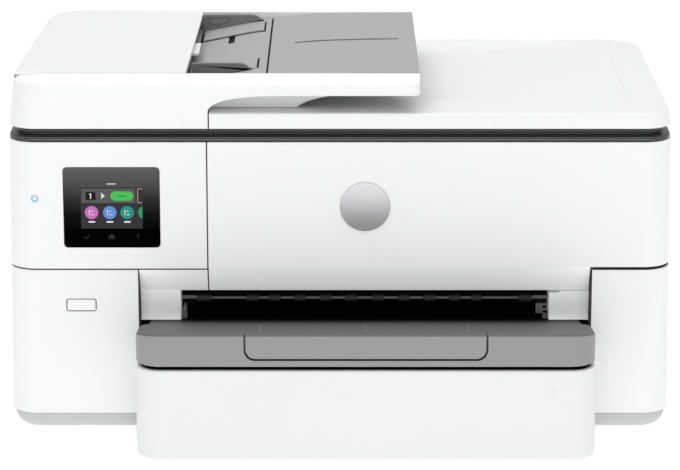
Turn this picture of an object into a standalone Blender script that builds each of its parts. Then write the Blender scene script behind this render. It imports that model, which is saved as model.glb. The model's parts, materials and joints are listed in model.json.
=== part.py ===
"""Wide-format inkjet printer with a document feeder, as separate parts with real joints.

Lengths are in millimetres in this file, and the helpers turn them into Blender's metres.
+X is to the right of a person facing the printer, +Z is up, and a depth is measured back
from the front panel. The origin is on the table, below the middle of the bounding box.
"""

import math

import bmesh
import bpy
from mathutils import Matrix, Vector

MM = 0.001
GAP = 0.3  # between pieces that touch

# Driving dimensions
FRONT = -128.0  # world y of the front panel
HALF_WIDTH = 292.5  # of the case at its foot
DEPTH = 328.0  # front panel to back wall
WALL = 2.5
DRAFT = 6.6e-5  # share of its width that the case loses for each millimetre of height
LID_DRAFT = 5.6e-4
FRONT_RADIUS = 25.0  # of the case's front corners, in plan
BACK_RADIUS = 32.0

BASE_BOTTOM = 5.7
BASE_TOP = 20.6
SPLIT = 153.6  # top of the lower case
CASE_TOP = 268.4
BED_TOP = 279.2
LID_BOTTOM = 279.8
LID_TOP = 293.5
FEEDER_TOP = 326.0

TRAY_LEFT, TRAY_RIGHT = -176.6, 220.6  # sides of the opening for the trays
TRAY_FRONT = -76.0
TRAY_TOP = 85.6
SLOT_LEFT, SLOT_RIGHT = -141.0, 185.0  # sides of the paper exit
SLOT_TOP = 130.0
SHELF = 101.8  # top of the output tray where it enters the case
DOOR_LEFT = -115.8
DOOR_WRAP = 27.0  # how far the ink door reaches round the right corner
FEEDER_RIGHT = 70.0
FEEDER_BACK = 300.0
SEAM = -114.0  # between the feeder's moulding and the lid plate
HINGE_DEPTH, HINGE_HEIGHT = 329.0, 281.5  # the lid's axis, behind the case
HINGE_LEFT, HINGE_RIGHT = -210.0, 190.0

ROD_DEPTH, ROD_HEIGHT = 128.0, 165.0  # carriage rod
BELT_HEIGHT = 185.0
PULLEY_RADIUS = 7.0
EJECT_DEPTH, EJECT_HEIGHT = 30.0, 119.6
FEED_DEPTH, FEED_HEIGHT = 104.0, 114.0
PICKUP_DEPTH, PICKUP_HEIGHT = 232.0, 76.0

COLOURS = {
    "white_shell": ((0.88, 0.88, 0.88), 0.42, 0.0),
    "light_grey": ((0.62, 0.64, 0.65), 0.45, 0.0),
    "tray_grey": ((0.34, 0.34, 0.34), 0.5, 0.0),
    "feeder_grey": ((0.45, 0.45, 0.45), 0.5, 0.0),
    "dark_grey": ((0.09, 0.09, 0.095), 0.5, 0.0),
    "black_plastic": ((0.015, 0.015, 0.016), 0.5, 0.0),
    "steel": ((0.62, 0.62, 0.64), 0.3, 1.0),
    "rubber": ((0.03, 0.03, 0.03), 0.8, 0.0),
    "clear_glass": ((0.75, 0.82, 0.82), 0.05, 0.0),
    "screen_glass": ((0.01, 0.01, 0.012), 0.08, 0.0),
    "badge_metal": ((0.6, 0.6, 0.62), 0.3, 1.0),
    "foam_white": ((0.85, 0.85, 0.85), 0.9, 0.0),
    "board_green": ((0.02, 0.16, 0.07), 0.5, 0.0),
    "lamp_blue": ((0.25, 0.55, 0.95), 0.3, 0.0),
    "cyan_label": ((0.0, 0.35, 0.6), 0.5, 0.0),
    "magenta_label": ((0.55, 0.02, 0.25), 0.5, 0.0),
    "yellow_label": ((0.75, 0.6, 0.02), 0.5, 0.0),
}

for old in list(bpy.data.objects):
    bpy.data.objects.remove(old, do_unlink=True)
parts = bpy.data.collections.new("inkjet_printer")
cutters = bpy.data.collections.new("cutters")
cutters.hide_render = True
for group in (parts, cutters):
    bpy.context.scene.collection.children.link(group)


# ---------------------------------------------------------------- helpers


def material(slot):
    """The Principled material of a slot, made once."""
    if slot in bpy.data.materials:
        return bpy.data.materials[slot]
    colour, roughness, metallic = COLOURS[slot]
    made = bpy.data.materials.new(slot)
    made.use_nodes = True
    shader = made.node_tree.nodes["Principled BSDF"]
    shader.inputs["Base Color"].default_value = (*colour, 1.0)
    shader.inputs["Roughness"].default_value = roughness
    shader.inputs["Metallic"].default_value = metallic
    return made


def add(name, mesh, slot):
    """Links a mesh as a part or, when slot is None, as a hidden cutter."""
    obj = bpy.data.objects.new(name, mesh)
    if slot is None:
        cutters.objects.link(obj)
        obj.hide_render = True
        obj.display_type = "WIRE"
    else:
        parts.objects.link(obj)
        mesh.materials.clear()
        mesh.materials.append(material(slot))
    return obj


def place(x, depth, z):
    """A point given across, back from the front panel and up, in world metres."""
    return Vector((x, FRONT + depth, z)) * MM


def blocks(name, slot, *spans):
    """One mesh of boxes, each given as (x low, x high), (depth low, high), (z low, high)."""
    bm = bmesh.new()
    for span in spans:
        low = place(*(side[0] for side in span))
        high = place(*(side[1] for side in span))
        size = Matrix.Diagonal((*(high - low), 1.0))
        bmesh.ops.create_cube(bm, size=1.0, matrix=Matrix.Translation((low + high) / 2) @ size)
    mesh = bpy.data.meshes.new(name)
    bm.to_mesh(mesh)
    bm.free()
    return add(name, mesh, slot)


def rod(name, slot, axis, centre, radius, length, sides=20):
    """A cylinder along X, Y or Z about its centre."""
    turn = {
        "X": Matrix.Rotation(math.radians(90), 4, "Y"),
        "Y": Matrix.Rotation(math.radians(-90), 4, "X"),
        "Z": Matrix.Identity(4),
    }[axis]
    bm = bmesh.new()
    bmesh.ops.create_cone(
        bm,
        cap_ends=True,
        segments=sides,
        radius1=radius * MM,
        radius2=radius * MM,
        depth=length * MM,
        matrix=Matrix.Translation(place(*centre)) @ turn,
    )
    mesh = bpy.data.meshes.new(name)
    bm.to_mesh(mesh)
    bm.free()
    mesh.shade_smooth()
    mesh.set_sharp_from_angle(angle=math.radians(35))
    return add(name, mesh, slot)


def turned(name, slot, axis, centre, profile, steps=16):
    """A turned piece: profile lists (radius, place along the axis), from its far end to its near end."""
    mesh = bpy.data.meshes.new(name)
    points = [(radius * MM, 0.0, along * MM) for radius, along in profile]
    mesh.from_pydata(points, [(i, i + 1) for i in range(len(points) - 1)], [])
    obj = add(name, mesh, slot)
    obj.location = place(*centre)
    obj.rotation_euler = {
        "X": (0.0, math.radians(90), 0.0),
        "Y": (math.radians(-90), 0.0, 0.0),
        "Z": (0.0, 0.0, 0.0),
    }[axis]
    screw = obj.modifiers.new("Screw", "SCREW")
    screw.steps = steps
    screw.render_steps = steps
    screw.use_merge_vertices = True
    screw.merge_threshold = 0.00001
    screw.use_smooth_shade = True
    return obj


def stepped(radius, ends, bosses):
    """A turned profile of a shaft with bosses, each (start, stop, radius), from high to low."""
    low, high = ends
    profile = [(0.0, high), (radius, high)]
    for start, stop, boss_radius in sorted(bosses, reverse=True):
        profile += [(radius, stop), (boss_radius, stop), (boss_radius, start), (radius, start)]
    return profile + [(radius, low), (0.0, low)]


def prism(name, slot, axis, outline, low, high):
    """An outline filled and extruded along an axis.

    The outline's points are (x, depth) along Z, (x, z) along Y and (depth, z) along X.
    """
    curve = bpy.data.curves.new(name, "CURVE")
    curve.dimensions = "2D"
    curve.fill_mode = "BOTH"
    curve.extrude = (high - low) / 2 * MM
    spline = curve.splines.new("POLY")
    spline.points.add(len(outline) - 1)
    for point, (u, v) in zip(spline.points, outline):
        point.co = (u * MM, v * MM, 0.0, 1.0)
    spline.use_cyclic_u = True
    guide = bpy.data.objects.new(name + "_outline", curve)
    bpy.context.scene.collection.objects.link(guide)
    evaluated = guide.evaluated_get(bpy.context.evaluated_depsgraph_get())
    mesh = bpy.data.meshes.new_from_object(evaluated)
    bpy.data.objects.remove(guide, do_unlink=True)
    bpy.data.curves.remove(curve)
    mesh.name = name
    middle = (low + high) / 2
    stand = {
        "Z": Matrix.Translation(place(0, 0, middle)),
        "Y": Matrix.Translation(place(0, middle, 0)) @ Matrix.Rotation(math.radians(90), 4, "X"),
        "X": Matrix.Translation(place(middle, 0, 0))
        @ Matrix(((0, 0, 1, 0), (1, 0, 0, 0), (0, 1, 0, 0), (0, 0, 0, 1))),
    }[axis]
    bm = bmesh.new()
    bm.from_mesh(mesh)
    bmesh.ops.remove_doubles(bm, verts=bm.verts, dist=1e-6)
    bmesh.ops.transform(bm, matrix=stand, verts=bm.verts)
    bmesh.ops.recalc_face_normals(bm, faces=bm.faces)
    bm.to_mesh(mesh)
    bm.free()
    mesh.shade_smooth()
    mesh.set_sharp_from_angle(angle=math.radians(35))
    return add(name, mesh, slot)


def arc(centre, radius, start, stop, steps=6):
    """Points on an arc, between two angles in degrees."""
    return [
        (
            centre[0] + radius * math.cos(math.radians(start + (stop - start) * i / steps)),
            centre[1] + radius * math.sin(math.radians(start + (stop - start) * i / steps)),
        )
        for i in range(steps + 1)
    ]


def rounded(u, v, radii, steps=6):
    """A rectangle with rounded corners: radii at low-low, high-low, high-high and low-high."""
    outline = []
    corners = ((u[0], v[0], 1, 1), (u[1], v[0], -1, 1), (u[1], v[1], -1, -1), (u[0], v[1], 1, -1))
    for (cu, cv, du, dv), radius, start in zip(corners, radii, (180, 270, 0, 90)):
        if radius:
            centre = (cu + du * radius, cv + dv * radius)
            outline += arc(centre, radius, start, start + 90, steps)
        else:
            outline.append((cu, cv))
    return outline


def case_outline(inset=0.0):
    """The case in plan, at its foot."""
    half = HALF_WIDTH - inset
    front, back = FRONT_RADIUS - inset, BACK_RADIUS - inset
    return rounded((-half, half), (inset, DEPTH - inset), (front, front, back, back))


def draft(obj, rate=DRAFT, start=BASE_TOP):
    """Narrows a piece with height, the way the moulded case does."""
    for vertex in obj.data.vertices:
        vertex.co.x *= 1.0 - rate * (vertex.co.z / MM - start)
    return obj


def boolean(obj, operation, tools):
    for tool in tools:
        modifier = obj.modifiers.new(f"{operation.title()} {tool.name}", "BOOLEAN")
        modifier.operation = operation
        modifier.solver = "EXACT"
        modifier.object = tool
    return obj


def cut(obj, *tools):
    return boolean(obj, "DIFFERENCE", tools)


def join(obj, *tools):
    return boolean(obj, "UNION", tools)


def keep(obj, *tools):
    return boolean(obj, "INTERSECT", tools)


def pivot(name, x, depth, z, *riders):
    """An empty on a joint's axis, with the pieces that the joint moves parented to it."""
    empty = bpy.data.objects.new(name, None)
    parts.objects.link(empty)
    empty.location = place(x, depth, z)
    for rider in riders:
        rider.parent = empty
        rider.matrix_parent_inverse = Matrix.Translation(-empty.location)
    return empty


# ---------------------------------------------------------------- case


def shell(name, slot, low, high):
    """A ring of the case's wall between two heights."""
    outer = draft(prism(name, slot, "Z", case_outline(), low, high))
    inner = draft(prism(name + "_inside", None, "Z", case_outline(WALL), low - 5, high + 5))
    return cut(outer, inner)


def make_base():
    """The base pan: a chamfered rim under the case, open in the middle for the paper tray."""
    pan = prism("base_frame", "light_grey", "Z", case_outline(1.0), BASE_BOTTOM, BASE_TOP)
    middle = FRONT + DEPTH / 2
    for vertex in pan.data.vertices:
        if vertex.co.z < (BASE_BOTTOM + 1) * MM:
            vertex.co.x *= 0.962
            vertex.co.y = (middle + (vertex.co.y / MM - middle) * 0.932) * MM
    pocket = prism("base_pocket", None, "Z", case_outline(16.0), BASE_BOTTOM + 3.3, 30)
    bay = blocks("base_bay", None, ((-182.5, 226.5), (-20, 272), (0, 30)))
    cut(pan, pocket, bay)
    for side, x in (("left", -255), ("right", 255)):
        for end, depth in (("front", 42), ("back", 288)):
            foot = [(0, 0), (9.5, 0), (9.5, -3.6), (8, -5.4), (0, -5.4)]
            turned(f"foot_{end}_{side}", "rubber", "Z", (x, depth, 5.4), foot, 20)


def make_lower_case():
    case = shell("lower_case", "white_shell", BASE_TOP + GAP, SPLIT)
    span = (BASE_TOP + GAP, SPLIT)
    returns = (
        blocks("return_left", None, ((TRAY_LEFT - WALL, TRAY_LEFT), (1.2, 34), span)),
        blocks("return_right", None, ((TRAY_RIGHT, TRAY_RIGHT + WALL), (1.2, 34), span)),
    )
    opening = blocks("tray_opening", None, ((TRAY_LEFT, TRAY_RIGHT), (-9, 9), (0, 170)))
    rear = blocks("rear_opening", None, ((-130, 170), (320, 340), (40, 130)))
    button = prism(
        "button_hole", None, "Y", rounded((-240.9, -213.9), (115.0, 127.4), (2.2,) * 4, 4), -9, 9
    )
    inlet = blocks("inlet_hole", None, ((239.7, 270.3), (320, 340), (27.7, 52.3)))
    ports = blocks("port_hole", None, ((-262.3, -217.7), (320, 340), (47.7, 84.3)))
    join(case, *returns)
    cut(case, opening, rear, button, inlet, ports)


def make_upper_case():
    case = shell("upper_case", "white_shell", SPLIT + GAP, CASE_TOP)
    door_way = blocks("door_way", None, ((DOOR_LEFT - 0.2, 400), (-20, DOOR_WRAP + 0.4), (140, 280)))
    window = prism(
        "display_window", None, "Y", rounded((-240.9, -157.3), (173.4, 245.9), (3,) * 4, 4), -9, 9
    )
    lamp_hole = rod("lamp_hole", None, "Y", (-266, 0, 217.5), 3.3, 20)
    cut(case, door_way, window, lamp_hole)


def make_front_frame():
    """The light grey frame of the paper exit, with the fixed left end of the slanted lip."""
    edge = 0.4
    height = (SHELF + GAP, SLOT_TOP)
    frame = blocks("front_frame", "light_grey", ((TRAY_LEFT + edge, SLOT_LEFT), (18, 40), height))
    right = blocks("frame_right", None, ((SLOT_RIGHT, TRAY_RIGHT - edge), (18, 40), height))
    bar = blocks("frame_bar", None, ((TRAY_LEFT + edge, TRAY_RIGHT - edge), (34.5, 40), (127, 142)))
    lip = prism("frame_lip", None, "X", lip_section(), TRAY_LEFT + edge, DOOR_LEFT - 0.3)
    ledge = blocks("frame_ledge", None, ((TRAY_LEFT + edge, SLOT_LEFT), (14, 30), (128, 131.5)))
    join(frame, right, bar, ledge, lip)


def lip_section():
    """The slanted strip under the ink door, in (depth, z)."""
    return [(0.4, 153.9), (0.4, 151.5), (15.3, 130.3), (18.3, 130.3), (4.2, 153.9)]


def make_ink_door():
    """The door over the ink carriage: it wraps round the right corner and tips forward."""
    door = shell("ink_door", "white_shell", SPLIT + 0.6, CASE_TOP - 0.2)
    reach = blocks("door_reach", None, ((DOOR_LEFT + 0.2, 400), (-20, DOOR_WRAP), (140, 280)))
    keep(door, reach)
    lip = prism("door_lip", "light_grey", "X", lip_section(), DOOR_LEFT + 0.2, TRAY_RIGHT - 0.8)
    badge = turned(
        "badge",
        "badge_metal",
        "Y",
        (21.9, -0.3, 210.4),
        [(0, 0), (21.7, 0), (21.7, -0.9), (20.9, -1.3), (0, -1.3)],
        40,
    )
    pivot("ink_door_axis", 0, 1.2, 157.4, door, lip, badge)


def make_front_controls():
    panel = prism(
        "display_glass", "screen_glass", "Y", rounded((-240.5, -157.7), (173.8, 245.5), (3,) * 4, 4), -0.2, 3
    )
    join(panel, blocks("display_module", None, ((-236, -162), (2, 9), (178, 241))))
    button = prism(
        "power_button", "white_shell", "Y", rounded((-240.6, -214.2), (115.3, 127.1), (2,) * 4, 4), -0.1, 6
    )
    pivot("power_button_axis", -227.4, 0, 121.2, button)
    rod("status_lamp", "lamp_blue", "Y", (-266, 1.4, 217.5), 3.0, 3.0)


def make_rear():
    """The rear access door, the power supply with its inlet, and the board with its sockets."""
    door = blocks("rear_door", "white_shell", ((-129.6, 169.6), (325.6, 328), (40.4, 129.6)))
    grip = blocks("rear_door_grip", None, ((-15, 55), (326.6, 332), (117, 126)))
    ribs = blocks(
        "rear_door_ribs",
        None,
        *(((x, x + 2), (313.5, 326), (50, 118)) for x in range(-110, 160, 52)),
    )
    cut(join(door, ribs), grip)
    pivot("rear_door_axis", 20, 328, 41.5, door)
    supply = blocks("power_supply", "black_plastic", ((229, 273), (170, 302), (11.7, 78)))
    inlet = blocks("power_inlet", None, ((240, 270), (300, 328.2), (28, 52)))
    pins = blocks(
        "inlet_pins",
        None,
        *(((x, x + 2), (309, 322), (z, z + 4.5)) for x, z in ((247, 36), (261, 36), (254, 41))),
    )
    well = blocks("inlet_well", None, ((243.5, 266.5), (311, 340), (32, 48.5)))
    join(cut(join(supply, inlet), well), pins)
    board = blocks("main_board", "board_green", ((-276, -192), (312, 313.8), (30, 140)))
    sockets = blocks("data_sockets", None, ((-262, -218), (313, 328.2), (48, 84)))
    wells = (((-258, -242), (317, 340), (58, 74)), ((-238, -222), (317, 340), (58, 72)))
    cut(join(board, sockets), blocks("socket_wells", None, *wells))


# ---------------------------------------------------------------- scanner


def make_scanner():
    """The flatbed: its housing closes the case's top, and the dark band shows all round."""
    bed = prism("scanner_bed", "dark_grey", "Z", case_outline(3.4), 246, CASE_TOP + 1)
    strip = prism("bed_strip", None, "Z", case_outline(2.9), CASE_TOP + GAP, 272.3)
    band = prism("bed_band", None, "Z", case_outline(4.6), 271, BED_TOP)
    cavity = blocks("bed_cavity", None, ((-262, 262), (20, 300), (249, 276.5)))
    rebates = blocks(
        "glass_rebates",
        None,
        ((-95.3, 240.3), (34.7, 285.3), (277.5, 290)),
        ((-152.3, -121.7), (34.7, 285.3), (277.5, 290)),
    )
    windows = blocks(
        "glass_windows",
        None,
        ((-88, 233), (42, 278), (270, 290)),
        ((-149, -125), (42, 278), (270, 290)),
    )
    for piece in (bed, strip, band):
        draft(piece)
    cut(join(bed, strip, band), cavity, rebates, windows)
    blocks("scanner_glass", "clear_glass", ((-95, 240), (35, 285), (277.8, 279.3)))
    blocks("feeder_glass", "clear_glass", ((-152, -122), (35, 285), (277.8, 279.3)))
    bar = blocks("scan_bar", "black_plastic", ((-156, -118), (28, 292), (256, 276)))
    lens = blocks("scan_lens", None, ((-141, -133), (34, 286), (274.5, 280)))
    groove = blocks("scan_groove", None, ((-160, -110), (156, 164), (250, 257.2)))
    cut(bar, lens, groove)
    pivot("scan_bar_axis", -137, 160, 266, bar)
    rod("scan_rod", "steel", "X", (0, 160, 252.6), 2.5, 523, 12)


# ---------------------------------------------------------------- lid and document feeder


def lid_slab(name, slot, sides, low, high, radii):
    """A slab of the lid's plan between two sides, narrowing a little with height."""
    outline = rounded(sides, (0.0, 329.5), radii)
    return draft(prism(name, slot, "Z", outline, low, high), LID_DRAFT, LID_BOTTOM)


def hinge_notch(x):
    """Room in the lid's back edge for a hinge barrel, and the bore for its pin."""
    return (
        blocks("hinge_notch", None, ((x - 18, x + 18), (324.5, 340), (270, 300))),
        rod("hinge_bore", None, "X", (x, HINGE_DEPTH, HINGE_HEIGHT), 1.6, 56, 12),
    )


def make_lid_plate():
    """The right part of the lid, with the hollow that scanned sheets slide into."""
    radii = (0, FRONT_RADIUS, BACK_RADIUS, 0)
    plate = lid_slab("lid_plate", "white_shell", (SEAM + 0.2, 287.5), LID_BOTTOM, LID_TOP, radii)
    hollow = prism(
        "lid_hollow",
        None,
        "Y",
        [(-130, 310), (-130, 285.4), (SEAM, 285.6), (255, LID_TOP), (255, 310)],
        54,
        321,
    )
    pad_room = blocks("pad_room", None, ((-95, 240), (35, 285), (270, 283.2)))
    cut(plate, hollow, pad_room, *hinge_notch(HINGE_RIGHT))
    pad = blocks("lid_pad", "foam_white", ((-93, 238), (37, 283), (279.7, 282.9)))
    return [plate, pad]


def feeder_block(name, slot, inset, low, high, right):
    """The feeder's plan between two heights, narrowing with height like the rest of the lid."""
    left = -287.5 + inset
    radii = (FRONT_RADIUS - inset, 0, 0, BACK_RADIUS - inset)
    plan = rounded((left, right), (inset, FEEDER_BACK - inset), radii)
    return draft(prism(name, slot, "Z", plan, low, high), LID_DRAFT, LID_BOTTOM)


def arch(name, start, foot, reach, rise, span):
    """A cutter below a quarter-wave arch that springs from a foot and runs on to the right."""
    line = [(start + reach * t, foot + rise * math.sin(t * math.pi / 2)) for t in (0.1, 0.25, 0.5, 0.75, 1)]
    outline = [(start, 270), (start, foot)] + line + [(90, foot + rise), (90, 270)]
    return prism(name, None, "Y", outline, *span)


def make_feeder_body():
    """The feeder's housing: the left end of the lid with the long front wall and its two arches."""
    right = SEAM - 0.2
    body = feeder_block("feeder_body", "white_shell", 0, LID_BOTTOM, FEEDER_TOP, FEEDER_RIGHT)
    slope = [(-9, 314.7), (0.5, 319), (16, FEEDER_TOP), (16.2, 340), (-9, 340)]
    strip = prism("feeder_strip", None, "X", [(3, 313), (3, 319.9), (16, 325.8), (16, 322)], -280, 69.5)
    inner_line = [(-120, 290), (-120, 305), (-100, 311), (68, 313.5), (68, 290)]
    inner = prism("feeder_inner", None, "Y", inner_line, 24, 27)
    shoulder = lid_slab("lid_shoulder", None, (-287, right - 0.3), 280.1, LID_TOP, (0, 0, 0, BACK_RADIUS))
    cut(
        body,
        feeder_block("feeder_room", None, 4.2, 297, 340, 420),
        prism("feeder_bevel", None, "X", slope, -400, 420),
        blocks("feeder_rim", None, ((-300, 420), (16.1, 340), (FEEDER_TOP - 3, 340))),
        arch("front_arch", right, 294, 54, 14.7, (-20, 22)),
        blocks("feeder_outlet", None, ((right, 90), (21, FEEDER_BACK - 4.2), (270, 303.8))),
    )
    join(
        body,
        keep(strip, feeder_block("strip_limit", None, 1.0, 300, 340, 420)),
        cut(inner, arch("inner_arch", -36, LID_TOP + GAP, 40, 11, (20, 40))),
        cut(shoulder, blocks("shoulder_front", None, ((-400, 100), (-20, 290), (270, 300)))),
        blocks("feeder_partition", None, ((-121, -118), (26, 297), (290, 305.5))),
        blocks("feeder_ties", None, *(((x, x + 3), (3.2, 25.5), (309.2, 312)) for x in (-56, 0, 62))),
    )
    cut(
        body,
        blocks("feeder_under", None, ((-268, -124), (20, 284), (270, 291.6))),
        blocks("plate_clearance", None, ((right, 90), (-20, 340), (270, LID_TOP + GAP))),
        blocks("feeder_exit_slot", None, ((-130, -110), (40, 284), (296.5, 302.5))),
        *hinge_notch(HINGE_LEFT),
    )
    return body


def make_feeder_parts():
    """The feeder's cover, deck, input tray, guides and rollers."""
    deck_line = [(-133.6, 309.4), (-85, 319.0), (-72, 321.2), (-64.4, 321.6)]
    deck_outline = deck_line + [(x, z - 2.6) for x, z in reversed(deck_line)]
    deck = prism("feeder_deck", "feeder_grey", "Y", deck_outline, 16.6, 295.6)
    tray_line = [(-63.8, 321.6), (10, 324.6), (FEEDER_RIGHT - 1, 326.2)]
    tray_outline = tray_line + [(x, z - 4) for x, z in reversed(tray_line)]
    tray = prism("input_tray", "feeder_grey", "Y", tray_outline, 16.6, 295.6)
    cut(tray, blocks("tray_groove", None, ((-42, 53), (164, 165.6), (322.9, 330))))
    cover = feeder_block("feeder_cover", "white_shell", 0.4, 323.4, FEEDER_TOP + 0.4, -134.2)
    front = blocks("cover_front", None, ((-300, 0), (-9, 16.4), (310, 340)))
    join(cut(cover, front), blocks("cover_edge", None, ((-137, -134.2), (20, 292), (316.2, 325))))
    guides = []
    for name, fin, foot in (
        ("paper_guide_front", (58, 61), (61, 100)),
        ("paper_guide_back", (278, 281), (240, 278)),
    ):
        fin_outline = [(-130, 313.4), (-130, 325), (-126, 327.4), (-90, 327.4), (-82, 324), (-80, 323.4)]
        sole = [(-127, 312.6), (-82, 321.5), (-82, 323.4), (-127, 314.6)]
        guide = prism(name, "dark_grey", "Y", fin_outline, *fin)
        low, high = min(foot[0], fin[0]), max(foot[1], fin[1])
        join(guide, prism(name + "_sole", None, "Y", sole, low, high))
        guides.append(guide)
    pick = turned(
        "pick_roller",
        "rubber",
        "Y",
        (-152, 160, 310),
        stepped(2.5, (-40, 40), [(-14, 14, 7.5)]),
    )
    draw = turned(
        "draw_roller",
        "rubber",
        "Y",
        (-186, 160, 308),
        stepped(2.5, (-125, 125), [(start, start + 16, 6.5) for start in (-80, -34, 18, 64)]),
    )
    return {
        "deck": deck,
        "tray": tray,
        "cover": cover,
        "guides": guides,
        "pick": pick,
        "draw": draw,
    }


def make_lid_hinges():
    """The two hinge brackets on the scanner's back, each a barrel with a pin through it."""
    for side, x in (("left", HINGE_LEFT), ("right", HINGE_RIGHT)):
        bracket = blocks(f"lid_hinge_{side}", "steel", ((x - 16, x + 16), (328.4, 331.8), (236, 282)))
        barrel = rod(f"barrel_{side}", None, "X", (x, HINGE_DEPTH, HINGE_HEIGHT), 2.9, 32, 16)
        pin = rod(f"pin_{side}", None, "X", (x, HINGE_DEPTH, HINGE_HEIGHT), 1.3, 50, 12)
        join(bracket, barrel, pin)


def make_lid():
    plate, pad = make_lid_plate()
    body = make_feeder_body()
    feeder = make_feeder_parts()
    make_lid_hinges()
    lid_axis = pivot("lid_axis", 0, HINGE_DEPTH, HINGE_HEIGHT, plate, pad, body, feeder["deck"])
    moving = [
        pivot("cover_axis", -279.9, 160, 323.6, feeder["cover"]),
        pivot("input_tray_axis", -63.2, 160, 321.6, feeder["tray"]),
        pivot("guide_front_axis", -105, 60, 318, feeder["guides"][0]),
        pivot("guide_back_axis", -105, 280, 318, feeder["guides"][1]),
        pivot("pick_roller_axis", -152, 160, 310, feeder["pick"]),
        pivot("draw_roller_axis", -186, 160, 308, feeder["draw"]),
    ]
    for axis in moving:
        axis.parent = lid_axis
        axis.matrix_parent_inverse = Matrix.Translation(-lid_axis.location)


# ---------------------------------------------------------------- trays


def make_paper_tray():
    """The paper tray: a long open box behind a tall rounded front."""
    body = blocks("paper_tray", "white_shell", ((-174.5, 218.5), (-60, 268), (6, 72)))
    front_plan = rounded((-176.2, 220.2), (TRAY_FRONT, -0.6), (22, 22, 0, 0))
    front = prism("tray_front", None, "Z", front_plan, 3.8, TRAY_TOP)
    flange = blocks(
        "tray_flanges",
        None,
        ((-176.2, -174), (4, 268), (63.4, 66)),
        ((218, 220.2), (4, 268), (63.4, 66)),
    )
    room = rounded((-172, 216), (-73, 265.5), (20, 20, 0, 0))
    pocket = prism("tray_pocket", None, "Z", room, 8.5, 120)
    low_back = blocks("tray_back_cut", None, ((-160, 204), (250, 290), (45, 120)))
    cut(join(body, front, flange), pocket, low_back)
    left = blocks("width_guide_left", "dark_grey", ((-161, -158.6), (-30, 170), (8.9, 58)))
    join(left, blocks("guide_foot_left", None, ((-160, -128), (40, 100), (8.9, 11))))
    right = blocks("width_guide_right", "dark_grey", ((202.6, 205), (-30, 170), (8.9, 58)))
    join(right, blocks("guide_foot_right", None, ((172, 204), (40, 100), (8.9, 11))))
    stop = blocks("length_guide", "dark_grey", ((-24, 68), (-60, -57.4), (8.9, 56)))
    join(stop, blocks("length_guide_foot", None, ((0, 44), (-59, -20), (8.9, 11))))
    return body, left, right, stop


def make_output_tray():
    """The output tray on top of the paper tray, with the pull-out extension inside it."""
    section = [
        (TRAY_FRONT + 0.4, 89.2),
        (TRAY_FRONT + 0.4, 113.4),
        (TRAY_FRONT + 3, 116.1),
        (18, SHELF),
        (28, 100.9),
        (62, 100.9),
        (62, 89.2),
    ]
    tray = prism("output_tray", "tray_grey", "X", section, -174.6, 218.6)
    plan = rounded((-174.6, 218.6), (TRAY_FRONT + 0.4, 62), (22, 22, 14, 14))
    keep(tray, prism("output_plan", None, "Z", plan, 60, 140))
    handle_room = prism(
        "handle_room", None, "Y", rounded((-82, 127), (94.9, 140), (5, 5, 0, 0), 4), TRAY_FRONT - 9, -66
    )
    plate_room = blocks("plate_room", None, ((-78.4, 123.4), (-70, 90), (94.4, 98.4)))
    supports = blocks(
        "output_supports",
        None,
        ((-172.4, -165), (-50, 40), (85.9, 90)),
        ((209, 216.4), (-50, 40), (85.9, 90)),
    )
    cut(join(tray, supports), handle_room, plate_room)
    grip_section = [(TRAY_FRONT + 0.4, 95.3), (TRAY_FRONT + 0.4, 113.4), (TRAY_FRONT + 3, 116.1)]
    grip_section += [(-66.4, 114.5), (-66.4, 95.3)]
    grip = prism("tray_extension", "tray_grey", "X", grip_section, -81.6, 126.6)
    outline = prism(
        "grip_outline", None, "Y", rounded((-81.6, 126.6), (95.2, 140), (5, 5, 0, 0), 4), -90, -50
    )
    plate = blocks("extension_plate", None, ((-78, 123), (-68, 58), (95.3, 98)))
    join(keep(grip, outline), plate)
    return tray, grip


def make_trays():
    body, left, right, stop = make_paper_tray()
    output, extension = make_output_tray()
    tray_axis = pivot("paper_tray_axis", 22, -76, 44, body, output)
    for name, x, depth, rider in (
        ("width_guide_left_axis", -160, 70, left),
        ("width_guide_right_axis", 204, 70, right),
        ("length_guide_axis", 22, -58, stop),
        ("tray_extension_axis", 22, -76, extension),
    ):
        axis = pivot(name, x, depth, 44, rider)
        axis.parent = tray_axis
        axis.matrix_parent_inverse = Matrix.Translation(-tray_axis.location)


def make_tray_rails():
    """Channels each side of the tray bay, tied by the crossbar that holds the pickup arm."""
    channels = []
    for side, inner, out in (("left", -178.8, -1), ("right", 222.8, 1)):
        run = (38, 270)
        sections = (
            (ordered(inner, inner + 2 * out), run, (9.4, 101)),
            (ordered(inner, inner + 26 * out), run, (9.4, 11.4)),
            (ordered(inner, inner + 26 * out), run, (99, 101)),
            (ordered(inner + out, inner - 3.4 * out), run, (61, 63)),
        )
        pieces = [blocks(f"rail_{side}_{i}", None, span) for i, span in enumerate(sections)]
        channels += pieces
    frame = blocks("tray_rails", "steel", ((-180, 224), (204, 218), (94, 98.6)))
    section = [(206, 98.6), (206, 90), (PICKUP_DEPTH - 6, 70), (PICKUP_DEPTH + 6, 70)]
    section += [(PICKUP_DEPTH + 6, 84), (216, 98.6)]
    arm = prism("pickup_arm", None, "X", section, 19, 25)
    bearing = rod("pickup_bearing", None, "X", (22, PICKUP_DEPTH, PICKUP_HEIGHT), 3.4, 30)
    cut(join(frame, *channels, arm), bearing)


def ordered(first, second):
    return (min(first, second), max(first, second))


# ---------------------------------------------------------------- mechanism


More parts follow.
